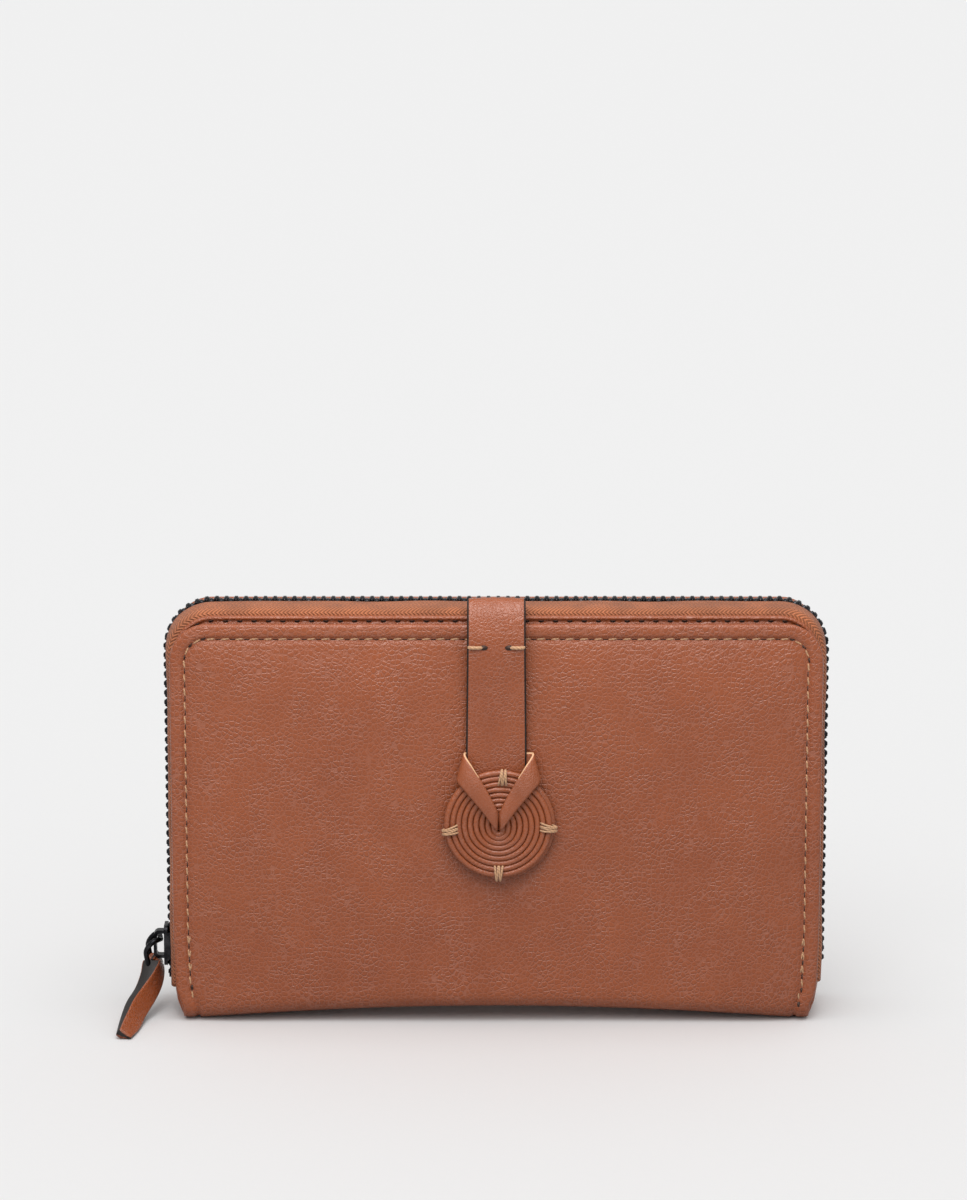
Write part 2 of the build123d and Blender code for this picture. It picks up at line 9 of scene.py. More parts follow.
import bmesh
import bpy
import numpy as np
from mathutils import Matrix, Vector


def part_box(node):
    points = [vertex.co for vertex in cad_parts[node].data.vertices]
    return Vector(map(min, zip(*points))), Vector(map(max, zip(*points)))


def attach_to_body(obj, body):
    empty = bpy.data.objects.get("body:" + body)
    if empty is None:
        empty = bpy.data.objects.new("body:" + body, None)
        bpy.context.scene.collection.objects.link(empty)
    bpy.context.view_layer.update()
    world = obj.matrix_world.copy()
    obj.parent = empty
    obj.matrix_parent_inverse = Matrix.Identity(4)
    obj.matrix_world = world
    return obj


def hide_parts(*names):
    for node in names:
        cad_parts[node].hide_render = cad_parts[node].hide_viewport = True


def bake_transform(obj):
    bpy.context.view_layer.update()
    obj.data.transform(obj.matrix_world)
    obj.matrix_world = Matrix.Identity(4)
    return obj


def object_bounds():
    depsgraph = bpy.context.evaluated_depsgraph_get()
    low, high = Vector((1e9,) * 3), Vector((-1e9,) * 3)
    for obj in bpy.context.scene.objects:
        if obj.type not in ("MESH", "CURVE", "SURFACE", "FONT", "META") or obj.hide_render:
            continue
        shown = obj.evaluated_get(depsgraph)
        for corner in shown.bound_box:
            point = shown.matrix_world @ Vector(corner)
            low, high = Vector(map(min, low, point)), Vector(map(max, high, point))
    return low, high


bl_info = {
    "name": "Zip-around wallet",
    "version": (1, 0, 0),
    "blender": (4, 5, 0),
    "location": "View3D > Sidebar > Wallet",
    "description": "Builds the leather, zip, strap and coiled disc of a zip-around wallet",
    "category": "Add Mesh",
}

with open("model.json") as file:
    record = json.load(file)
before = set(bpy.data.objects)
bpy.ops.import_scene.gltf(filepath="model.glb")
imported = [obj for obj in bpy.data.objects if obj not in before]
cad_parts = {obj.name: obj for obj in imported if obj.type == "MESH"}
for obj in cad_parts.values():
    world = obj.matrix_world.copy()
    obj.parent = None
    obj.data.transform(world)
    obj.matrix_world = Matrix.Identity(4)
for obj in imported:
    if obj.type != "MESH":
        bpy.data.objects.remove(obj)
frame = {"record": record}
CAD_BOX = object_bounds()
MM = 0.001


def corners(node):
    """The lowest and highest corner of a node, as arrays."""
    low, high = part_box(node)
    return np.array(low), np.array(high)


POCKET_LOW, POCKET_HIGH = corners("front_pocket_panel")
COVER_LOW, COVER_HIGH = corners("front_cover_panel")
BACK_LOW, BACK_HIGH = corners("back_panel")
FOLD_LOW, FOLD_HIGH = corners("front_fold")
CHAIN_HIGH = corners("back_zip_teeth")[1]
FRONT_CHAIN_LOW = corners("front_zip_teeth")[0]
BEND_LOW, BEND_HIGH = corners("strap_bend")
STRAP_LOW, STRAP_HIGH = corners("strap")
BACKING_LOW, BACKING_HIGH = corners("strap_backing")
COIL_LOW, COIL_HIGH = corners("coil_disc")
BRIDGE_LOW = corners("slider_bridge")[0]
BAIL_LOW, BAIL_HIGH = corners("bail")

HALF_W = POCKET_HIGH[0]
FRONT_Y = POCKET_LOW[1]
BACK_Y = BACK_HIGH[1]
FOLD_R = FOLD_HIGH[2] - FOLD_LOW[2]
HINGE_Y = FRONT_Y + FOLD_R
LEATHER_T = POCKET_HIGH[1] - POCKET_LOW[1]
ZIP_Y = (FRONT_CHAIN_LOW[1] + CHAIN_HIGH[1]) / 2
STRAP_HALF = STRAP_HIGH[0]
STRAP_T = BACKING_HIGH[1] - STRAP_LOW[1]
BEND_Y = (BEND_LOW[1] + BEND_HIGH[1]) / 2
BEND_Z = STRAP_HIGH[2]
BEND_R = (BEND_HIGH[1] - BEND_LOW[1] - STRAP_T) / 2
DISC = (COIL_LOW + COIL_HIGH) / 2
DISC_R = (COIL_HIGH[0] - COIL_LOW[0]) / 2


# ------------------------------------------------------------------ user's sizes
class LeatherSettings(bpy.types.PropertyGroup):
    """Colours and relief of the leather."""

    deep: bpy.props.FloatVectorProperty(
        name="Deep tone", description="Colour in the creases of the grain",
        subtype="COLOR", size=3, min=0, max=1, default=(0.196, 0.045, 0.012))
    high: bpy.props.FloatVectorProperty(
        name="Raised tone", description="Colour on top of the grain",
        subtype="COLOR", size=3, min=0, max=1, default=(0.226, 0.055, 0.016))
    smooth: bpy.props.FloatVectorProperty(
        name="Smooth tone", description="Colour of the coiled cord and the ribbon",
        subtype="COLOR", size=3, min=0, max=1, default=(0.252, 0.062, 0.018))
    grain: bpy.props.FloatProperty(
        name="Grain size", description="Width of one pebble of the grain",
        subtype="DISTANCE", unit="LENGTH", default=0.95 * MM, min=0.3 * MM, max=4 * MM)
    puff: bpy.props.FloatProperty(
        name="Puff", description="How far the pocket's leather stands out inside its seam",
        subtype="DISTANCE", unit="LENGTH", default=1.3 * MM, min=0, max=3 * MM)
    arch: bpy.props.FloatProperty(
        name="Base arch", description="How far the base rises in its middle",
        subtype="DISTANCE", unit="LENGTH", default=3.4 * MM, min=0, max=6 * MM)


class SewingSettings(bpy.types.PropertyGroup):
    """The seams and their thread."""

    colour: bpy.props.FloatVectorProperty(
        name="Thread", description="Colour of the sewing thread",
        subtype="COLOR", size=3, min=0, max=1, default=(0.485, 0.268, 0.138))
    pitch: bpy.props.FloatProperty(
        name="Stitch pitch", description="From one needle hole to the next",
        subtype="DISTANCE", unit="LENGTH", default=4.1 * MM, min=2 * MM, max=8 * MM)
    inset: bpy.props.FloatProperty(
        name="Seam inset", description="From the edge of the leather to the seam",
        subtype="DISTANCE", unit="LENGTH", default=4.3 * MM, min=1.5 * MM, max=8 * MM)
    thick: bpy.props.FloatProperty(
        name="Thread thickness", description="Diameter of the thread",
        subtype="DISTANCE", unit="LENGTH", default=0.55 * MM, min=0.2 * MM, max=1.5 * MM)


class ZipSettings(bpy.types.PropertyGroup):
    """The woven tape and the metal of the zip."""

    tape: bpy.props.FloatVectorProperty(
        name="Tape", description="Colour of the woven tape",
        subtype="COLOR", size=3, min=0, max=1, default=(0.325, 0.098, 0.034))
    metal: bpy.props.FloatVectorProperty(
        name="Metal", description="Colour of the teeth, slider and bail",
        subtype="COLOR", size=3, min=0, max=1, default=(0.016, 0.016, 0.018))
    pitch: bpy.props.FloatProperty(
        name="Tooth pitch", description="Along one row of teeth",
        subtype="DISTANCE", unit="LENGTH", default=2.8 * MM, min=1 * MM, max=6 * MM)


class DiscSettings(bpy.types.PropertyGroup):
    """The coiled disc at the strap's end."""

    turns: bpy.props.FloatProperty(
        name="Turns", description="Turns of cord in the disc", default=9.0, min=3, max=15)


class StageSettings(bpy.types.PropertyGroup):
    """Camera and light."""

    distance: bpy.props.FloatProperty(
        name="Camera distance", description="From the camera to the point it looks at",
        subtype="DISTANCE", unit="LENGTH", default=1.3, min=0.3, max=5)
    elevation: bpy.props.FloatProperty(
        name="Camera elevation", description="How far the camera looks down",
        subtype="ANGLE", unit="ROTATION", default=math.radians(12.5), min=0, max=1.5)
    lens: bpy.props.FloatProperty(
        name="Lens", description="Focal length on a sensor 36 mm high", default=135.4,
        min=20, max=400)


# -------------------------------------------------------------- surfaces in numpy
def unit(v):
    """Vectors of length one."""
    return v / np.maximum(np.linalg.norm(v, axis=-1, keepdims=True), 1e-12)


def smooth_step(low, high, x):
    """0 below low, 1 above high, and 3t^2 - 2t^3 between them."""
    t = np.clip((x - low) / (high - low), 0, 1)
    return t * t * (3 - 2 * t)


def spline(points, count):
    """A Catmull-Rom curve through the points: each span is the cubic that leaves and
    reaches its ends parallel to the chord of their neighbours. Returns count points."""
    p = np.asarray(points, float)
    p = np.vstack([2 * p[0] - p[1], p, 2 * p[-1] - p[-2]])
    t = np.linspace(0, len(p) - 3 - 1e-9, count)
    i = t.astype(int)
    f = (t - i)[:, None]
    a, b, c, d = p[i], p[i + 1], p[i + 2], p[i + 3]
    return 0.5 * (2 * b + (c - a) * f + (2 * a - 5 * b + 4 * c - d) * f ** 2
                  + (3 * b - a - 3 * c + d) * f ** 3)


def grid_faces(rows, cols, close_rows, close_cols):
    """Four corner numbers of each face of a grid, wrapped round where it is closed."""
    r = np.arange(rows if close_rows else rows - 1)
    c = np.arange(cols if close_cols else cols - 1)
    r, c = (v.ravel() for v in np.meshgrid(r, c, indexing="ij"))
    r2, c2 = (r + 1) % rows, (c + 1) % cols
    return np.stack([r * cols + c, r * cols + c2, r2 * cols + c2, r2 * cols + c], 1)


def make_mesh(name, verts, faces, uv=None, attributes=()):
    """A mesh object from arrays. faces is a list of arrays, one for each number of
    corners; uv holds one pair for each vertex; attributes are (name, one value for each
    vertex). Doubles are merged and the faces turned outwards."""
    mesh = bpy.data.meshes.new(name)
    polygons = [face for group in faces for face in group.tolist()]
    mesh.from_pydata(verts.reshape(-1, 3).tolist(), [], polygons)
    if uv is not None:
        layer = mesh.uv_layers.new(name="cloth")
        loops = np.zeros(len(mesh.loops), np.int32)
        mesh.loops.foreach_get("vertex_index", loops)
        layer.data.foreach_set("uv", uv.reshape(-1, 2)[loops].astype(np.float32).ravel())
    for key, values in attributes:
        layer = mesh.attributes.new(key, "FLOAT", "POINT")
        layer.data.foreach_set("value", np.asarray(values, np.float32).ravel())
    shape = bmesh.new()
    shape.from_mesh(mesh)
    bmesh.ops.remove_doubles(shape, verts=shape.verts, dist=1e-7)
    bmesh.ops.recalc_face_normals(shape, faces=shape.faces)
    shape.to_mesh(mesh)
    shape.free()
    mesh.polygons.foreach_set("use_smooth", np.ones(len(mesh.polygons), bool))
    piece = bpy.data.objects.new(name, mesh)
    bpy.context.scene.collection.objects.link(piece)
    return piece


def loft(name, rings, uv=None, attributes=()):
    """A closed skin over rings of points, an array (rings, points, 3). Each end is
    closed by a fan to the middle of its ring."""
    rows, cols = rings.shape[:2]
    faces = [grid_faces(rows, cols, False, True)]
    verts = rings.reshape(-1, 3)
    c = np.arange(cols)
    for k, first in enumerate((0, (rows - 1) * cols)):
        middle = np.full(cols, rows * cols + k)
        faces.append(np.stack([first + c, first + (c + 1) % cols, middle], 1))
    verts = np.vstack([verts, rings[0].mean(0), rings[-1].mean(0)])
    if uv is not None:
        uv = np.vstack([uv.reshape(-1, 2), uv[0].mean(0), uv[-1].mean(0)])
    attributes = [(key, np.append(np.ravel(v), [np.ravel(v)[0], np.ravel(v)[-1]]))
                  for key, v in attributes]
    return make_mesh(name, verts, faces, uv, attributes)


def copies(name, base, faces, places, axes):
    """One mesh of many copies of a base shape. places is (n, 3), and axes (n, 3, 3)
    holds the directions that the base's X, Y and Z take in each copy."""
    verts = places[:, None, :] + np.einsum("vk,nkj->nvj", base, axes)
    shift = len(base) * np.arange(len(places))[:, None, None]
    return make_mesh(name, verts, [(f[None] + shift).reshape(-1, f.shape[1]) for f in faces])


def ring_faces(rows, cols):
    """Faces of a small shape of rings with flat ends, for copies."""
    c = np.arange(cols)
    ends = np.stack([c[::-1], (rows - 1) * cols + c])
    return [grid_faces(rows, cols, False, True), ends]


def tube_rings(path, radius, sides, flatten=1.0, up=None):
    """Rings round a path: a circle of the radius in the plane across the path, squashed
    along the path's own up direction by flatten."""
    path = np.asarray(path, float)
    tangent = unit(np.gradient(path, axis=0))
    up = np.array([0.0, 1.0, 0.0]) if up is None else np.asarray(up, float)
    side = unit(np.cross(tangent, np.broadcast_to(up, tangent.shape)))
    over = np.cross(side, tangent)
    a = np.linspace(0, 2 * np.pi, sides, endpoint=False)
    r = np.broadcast_to(np.asarray(radius, float), (len(path),))[:, None, None]
    return (path[:, None] + r * np.cos(a)[None, :, None] * side[:, None]
            + flatten * r * np.sin(a)[None, :, None] * over[:, None])


def edge_way(rise, low_right, low_left, top, radius, step=1.0 * MM):
    """The way round the cover's edge, outside it by rise: up the right side, round the
    corner, along the top and down the left. Returns points, outward directions and
    lengths, evenly spaced by about step."""
    x, z, r = HALF_W + rise, top + rise, radius + rise
    spans = [z - r - low_right, r * np.pi / 2, 2 * (x - r), r * np.pi / 2, z - r - low_left]
    ends = np.cumsum([0] + spans)
    s = np.linspace(0, ends[-1], int(ends[-1] / step) + 1)
    bearing = np.zeros_like(s)
    bearing = np.where(s > ends[1], np.clip((s - ends[1]) / r, 0, np.pi / 2), bearing)
    bearing = bearing + np.where(s > ends[3], np.clip((s - ends[3]) / r, 0, np.pi / 2), 0)
    out = np.stack([np.cos(bearing), 0 * s, np.sin(bearing)], 1)
    centre_x = np.where(s <= ends[2], x - r, np.where(s < ends[3], 0, r - x))
    px = np.where((s > ends[2]) & (s < ends[3]), x - r - (s - ends[2]), centre_x + r * out[:, 0])
    pz = np.where(s < ends[1], low_right + s,
                  np.where(s > ends[4], low_left + ends[5] - s, z - r + r * out[:, 2]))
    pz = np.where((s > ends[2]) & (s < ends[3]), z, pz)
    return np.stack([px, 0 * s, pz], 1), out, s


# --------------------------------------------------------------- sheets of leather
SIDE_STEPS = np.array([0, .12, .3, .55, .85, 1.2, 1.6, 2.05, 2.5, 2.85, 3.2, 3.55, 3.95,
                       4.5, 5.3, 6.4, 7.8, 9.5, 11.5, 14.0]) * MM


class Hide:
    """A sheet of leather whose line runs in the YZ plane and whose width runs along X.

    line(s) gives a point and an outward direction at each length s, half(s) the half
    width there, and edge(x, s) the distance to the nearest sewn edge. The outer face is
    the line raised by relief, and the inner face is one thickness under it; both roll
    together at the edges."""

    def __init__(self, line, start, end, half, corner, thick, puff=0.0, groove=0.65 * MM,
                 seam=None, dent=False):
        self.dent = dent
        self.seam = seam or bpy.context.scene.wallet_sewing.inset
        self.line, self.start, self.end = line, start, end
        self.half_w, self.corner, self.thick = half, corner, thick
        self.puff, self.groove = puff, groove

    def half(self, s):
        """Half width of the grid's row: the straight side, or the corner's arc."""
        over = np.clip(s - (self.end - self.corner), 0, self.corner)
        arc = np.sqrt(np.maximum(self.corner ** 2 - over ** 2, 0))
        return self.half_w(s) - self.corner + arc

    def edge(self, x, s):
        """Distance to the sides and the top, whose corners are arcs."""
        qx = np.abs(x) - (self.half_w(s) - self.corner)
        qs = s - (self.end - self.corner)
        outside = np.hypot(np.maximum(qx, 0), np.maximum(qs, 0))
        return self.corner - outside - np.minimum(np.maximum(qx, qs), 0)

    def relief(self, x, s):
        """Height of the outer face: a roll at the edge, a pinched seam, a puffed field
        inside it, and slow ripples of a fraction of a millimetre. Nothing stands out of
        the underside, which has to lie flat."""
        d = np.maximum(self.edge(x, s), 0)
        r = self.thick / 2
        roll = r - np.sqrt(np.maximum(r ** 2 - (r - np.minimum(d, r)) ** 2, 0))
        seam = self.groove * np.exp(-((d - self.seam) / (0.6 * MM)) ** 2)
        welt = 0.30 * MM * np.sin(np.pi * np.clip(d / self.seam, 0, 1)) ** 0.8
        flat = smooth_step(-0.9, -0.2, self.line(s)[1][..., 2])
        field = self.puff * (1 - np.exp(-(np.maximum(d - self.seam, 0) / (7 * MM)) ** 1.4))
        if self.dent:
            band = np.exp(-(x / (13 * MM)) ** 4) * smooth_step(52 * MM, 70 * MM, s)
            field = field * (1 - 0.6 * band)
        ripple = 0.10 * MM * (np.sin(61 * x + 90 * s + 1.0) + np.sin(-97 * x + 47 * s)
                              + np.sin(33 * x - 71 * s + 2.0))
        return (field + welt + ripple * smooth_step(0, 12 * MM, d)) * flat - seam - roll, roll

    def at(self, x, s, lift=0.0):
        """Points on the outer face, raised by lift, with the outward direction."""
        point, out = self.line(s)
        height, _ = self.relief(x, s)
        point = point + out * (height + lift)[..., None]
        point[..., 0] = x
        return settle(point), out

    def build(self, name):
        """The closed skin: each row runs over the outer face and back under the inner."""
        s_top = self.end - SIDE_STEPS
        count = int((s_top[-1] - self.start) / (2.2 * MM))
        rows = np.concatenate([[self.start], np.linspace(self.start, s_top[-1], count)[1:-1],
                               s_top[::-1]])
        half = self.half(rows)
        inner = np.linspace(-1, 1, 72)
        across = np.concatenate([-half[:, None] + SIDE_STEPS[None, :-1],
                                 (half[:, None] - SIDE_STEPS[-1]) * inner[None],
                                 half[:, None] - SIDE_STEPS[None, -2::-1]], 1)
        s = np.broadcast_to(rows[:, None], across.shape)
        outer, out = self.at(across, s)
        height, roll = self.relief(across, s)
        line, _ = self.line(s)
        under = line + out * (np.minimum(height + roll, 0) - self.thick + roll)[..., None]
        under[..., 0] = across
        under = settle(under)
        rings = np.concatenate([outer, under[:, -2:0:-1]], 1)
        flat = np.concatenate([np.stack([across, s], -1),
                               np.stack([across, s + 0.5], -1)[:, -2:0:-1]], 1)
        return loft(name, rings, uv=flat)


def settle(points):
    """Raises the middle of the base: a parabola along X that fades with height as
    exp(-(z / 24 mm)^2)."""
    arch = bpy.context.scene.wallet_leather.arch
    span = 1 - (points[..., 0] / (0.93 * HALF_W)) ** 2
    fade = np.exp(-(np.maximum(points[..., 2], 0) / (24 * MM)) ** 2)
    lifted = points.copy()
    lifted[..., 2] += arch * np.maximum(span, 0) ** 1.1 * fade
    return lifted


def bent_line(spans):
    """A line in the YZ plane from spans of (length, start point, start bearing, turn):
    the bearing turns evenly over each span, so it is straight or an arc."""
    def line(s):
        s = np.asarray(s, float)
        point = np.zeros(s.shape + (3,))
        out = np.zeros(s.shape + (3,))
        reach = 0.0
        for i, (length, y, z, bearing, turn) in enumerate(spans):
            last = i == len(spans) - 1
            inside = (s >= reach) & ((s < reach + length) | last) | ((i == 0) & (s < 0))
            t = s - reach
            if turn:
                r = length / turn
                b = bearing + turn * t / length
                py = y + r * (np.sin(b) - math.sin(bearing))
                pz = z - r * (np.cos(b) - math.cos(bearing))
            else:
                b = np.full_like(s, bearing)
                py, pz = y + t * math.cos(bearing), z + t * math.sin(bearing)
            point[..., 1] = np.where(inside, py, point[..., 1])
            point[..., 2] = np.where(inside, pz, point[..., 2])
            out[..., 1] = np.where(inside, np.sin(b), out[..., 1])
            out[..., 2] = np.where(inside, -np.cos(b), out[..., 2])
            reach += length
        return point, out
    return line


BRIM = 1.1 * MM


def tapered(base, full):
    """Half width along a hide: it draws in a little over the last 24 mm to the base and
    is rounded by 2 mm at the very end."""
    def half(s):
        return (full - 0.6 * MM * (1 - smooth_step(0, 24 * MM, s - base))
                - 2.0 * MM * (1 - smooth_step(-1.5 * MM, 6.5 * MM, s - base)))
    return half


def pocket_hide():
    """The pocket's leather: forward under the base, round the fold, and up the front.
    Walking forward and then up, the outside is on the right-hand side."""
    flat = HINGE_Y * -1 - 1 * MM
    quarter = FOLD_R * math.pi / 2
    rise = POCKET_HIGH[2] - FOLD_R
    spans = [(flat, HINGE_Y + flat, 0.0, math.pi, 0.0),
             (quarter, HINGE_Y, 0.0, math.pi, -math.pi / 2),
             (rise, FRONT_Y, FOLD_R, math.pi / 2, 0.0)]
    leather = bpy.context.scene.wallet_leather
    line = bent_line(spans)

    def outward(s):
        point, out = line(s)
        return point, -out
    hide = Hide(outward, 0.0, flat + quarter + rise + BRIM,
                tapered(flat + quarter, HALF_W + BRIM), 11 * MM,
                LEATHER_T, leather.puff, dent=True)
    return hide, flat + quarter


def back_hide():
    """The rest of the spine and the back: backwards under the base, round and up."""
    start_y = -1 * MM
    flat = BACK_Y - FOLD_R - start_y
    quarter = FOLD_R * math.pi / 2
    rise = BACK_HIGH[2] - FOLD_R
    spans = [(flat, start_y, 0.0, 0.0, 0.0),
             (quarter, BACK_Y - FOLD_R, 0.0, 0.0, math.pi / 2),
             (rise, BACK_Y, FOLD_R, math.pi / 2, 0.0)]
    puff = 0.6 * bpy.context.scene.wallet_leather.puff
    hide = Hide(bent_line(spans), 0.0, flat + quarter + rise + BRIM,
                tapered(flat + quarter, HALF_W + BRIM), 11 * MM, LEATHER_T, puff)
    return hide, flat + quarter


def lip_hide():
    """The second leather, whose lip stands above the pocket."""
    low, high = COVER_LOW[2], COVER_HIGH[2]
    line = bent_line([(high - low, COVER_LOW[1], low, math.pi / 2, 0.0)])

    def outward(s):
        point, out = line(s)
        return point, -out

    return Hide(outward, 0.0, high - low + 0.9 * MM, tapered(-low, HALF_W + 0.3 * MM), 12 * MM,
                COVER_HIGH[1] - COVER_LOW[1], 0.0, 0.45 * MM, seam=1.6 * MM)


def seam_way(hide, inset, low):
    """The seam's way inside a hide's edge, up one side, over the top and down the other:
    arrays of x, s and the direction along it, one step of the stitch pitch apart."""
    pitch = bpy.context.scene.wallet_sewing.pitch
    half = float(hide.half_w(np.array([hide.end - hide.corner]))[0]) - inset
    top = hide.end - inset
    r = hide.corner - inset
    spans = [top - r - low, r * math.pi / 2, 2 * (half - r), r * math.pi / 2, top - r - low]
    ends = np.cumsum([0] + spans)
    d = np.arange(0.5 * pitch, ends[-1] - 0.3 * pitch, pitch)
    turn = np.clip((d - ends[1]) / r, 0, np.pi / 2) * (d > ends[1])
    turn = turn + np.clip((d - ends[3]) / r, 0, np.pi / 2) * (d > ends[3])
    flat = (d > ends[2]) & (d < ends[3])
    x = np.where(flat, half - r - (d - ends[2]), np.where(d <= ends[2], half - r, r - half)
                 + r * np.cos(turn))
    s = np.where(d < ends[1], low + d, np.where(d > ends[4], low + ends[5] - d,
                                                top - r + r * np.sin(turn)))
    s = np.where(flat, top, s)
    return x * (hide.half_w(s) - inset) / half, s, -np.sin(turn), np.cos(turn)


def stitch_shape(length, thick):
    """One stitch along X: a thread that rises out of one hole and dips into the next;
    its height is a quarter of the thread times 1 - (x / half)^4."""
    rows, cols = 9, 6
    t = np.linspace(-1, 1, rows)
    a = np.linspace(0, 2 * np.pi, cols, endpoint=False)
    height = 0.62 * thick * (1 - t ** 4) - 0.34 * thick
    width = 0.5 * thick * (1 - 0.25 * t ** 6)
    ring = np.stack([np.broadcast_to((t * length / 2)[:, None], (rows, cols)),
                     width[:, None] * np.cos(a), height[:, None] + 0.42 * thick * np.sin(a)], -1)
    return ring.reshape(-1, 3), ring_faces(rows, cols)


def hole_shape(length, width):
    """One needle hole: a shallow oval dish seen from above, as a low dome turned down."""
    cols = 10
    a = np.linspace(0, 2 * np.pi, cols, endpoint=False)
    rim = np.stack([length / 2 * np.cos(a), width / 2 * np.sin(a), 0 * a], 1)
    floor = rim * np.array([0.8, 0.8, 1]) - np.array([0, 0, 0.12 * MM])
    return np.vstack([floor, rim]), ring_faces(2, cols)


SLANT = 0.13


def sew(hide, name, body, inset, low, sunk=False):
    """Stitches and needle holes along a hide's seam. A stitch's X runs along the seam,
    turned by SLANT, and its Z out of the leather. A few stitches near both
    ends are doubled, and a sunk seam's thread lies deep in its groove."""
    sewing = bpy.context.scene.wallet_sewing
    x, s, dx, ds = seam_way(hide, inset, low)
    step = 0.4 * MM
    here, out = hide.at(x, s)
    ahead, _ = hide.at(x + step * dx, s + step * ds)
    along = unit(ahead - here)
    side = np.cross(out, along)
    ways = unit(along * math.cos(SLANT) + side * math.sin(SLANT))
    axes = np.stack([ways, np.cross(out, ways), out], 1)
    base, faces = stitch_shape(0.64 * sewing.pitch, (0.7 if sunk else 1.05) * sewing.thick)
    places = here - out * (0.42 * MM if sunk else 0)
    if not sunk:
        tail = np.array([2, 3, 4, -3, -4, -5])
        places = np.vstack([here, here[tail] + side[tail] * 0.5 * MM + out[tail] * 0.12 * MM])
        turned = unit(along[tail] * math.cos(-2.2 * SLANT) + side[tail] * math.sin(-2.2 * SLANT))
        axes = np.vstack([axes, np.stack([turned, np.cross(out[tail], turned), out[tail]], 1)])
    thread = copies(name, base, faces, places, axes)
    thread.data.materials.append(thread_material())
    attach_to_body(thread, body)
    back = 0.5 * sewing.pitch
    # The needle holes are dark ovals laid just over the leather: painted shade of the holes.
    hole_at, hole_out = hide.at(x - back * dx, s - back * ds, 0.16 * MM)
    base, faces = hole_shape(1.6 * MM, 1.0 * MM)
    flat = unit(along - hole_out * np.sum(along * hole_out, 1, keepdims=True))
    holes = copies(name + "_holes", base, faces, hole_at,
                   np.stack([flat, np.cross(hole_out, flat), hole_out], 1))
    holes.data.materials.append(hole_shade_material())
    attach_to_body(holes, body)
    return thread


# -------------------------------------------------------------------- materials
def new_group(name, inputs, outputs):
    """An empty shader group. inputs are (label, default) and outputs are labels; all
    are plain numbers."""
    group = bpy.data.node_groups.new(name, "ShaderNodeTree")
    for label, value in inputs:
        socket = group.interface.new_socket(label, in_out="INPUT",
                                            socket_type="NodeSocketFloat")
        socket.default_value = value
    for label in outputs:
        group.interface.new_socket(label, in_out="OUTPUT", socket_type="NodeSocketFloat")
    return group, group.nodes.new("NodeGroupInput").outputs, \
        group.nodes.new("NodeGroupOutput").inputs


def add(tree, kind, values=None, **settings):
    """One node: its settings, then its inputs by name or number. A value that is a
    socket is linked, and anything else is set."""
    node = tree.nodes.new("ShaderNode" + kind)
    for key, value in settings.items():
        setattr(node, key, value)
    for key, value in (values or {}).items():
        socket = node.inputs[key]
        if isinstance(value, bpy.types.NodeSocket):
            tree.links.new(value, socket)
        else:
            socket.default_value = value
    return node


def calc(tree, operation, *values):
    """The number that a Math node works out."""
    return add(tree, "Math", dict(enumerate(values)), operation=operation).outputs[0]


def ramp(tree, value, low, high, to_low=0.0, to_high=1.0):
    """A value taken smoothly from one range to another."""
    return add(tree, "MapRange", {"Value": value, "From Min": low, "From Max": high,
                                  "To Min": to_low, "To Max": to_high},
               interpolation_type="SMOOTHSTEP").outputs[0]


def tint(tree, factor, a, b):
    """A colour between two colours."""
    a, b = (tuple(c) + (1.0,) if not isinstance(c, bpy.types.NodeSocket) else c
            for c in (a, b))
    return add(tree, "Mix", {0: factor, 6: a, 7: b}, data_type="RGBA").outputs[2]


def noise(tree, place, scale, detail=3.0, rough=0.55):
    """Noise of a scale, cells for each metre."""
    return add(tree, "TexNoise", {"Vector": place, "Scale": scale, "Detail": detail,
                                  "Roughness": rough}).outputs[0]


def use(tree, group, **values):
    """A group placed in a material with its own values; returns its outputs."""
    node = tree.nodes.new("ShaderNodeGroup")
    node.node_tree = group
    for key, value in values.items():
        socket = node.inputs[key]
        if isinstance(value, bpy.types.NodeSocket):
            tree.links.new(value, socket)
        else:
            socket.default_value = value
    return node.outputs


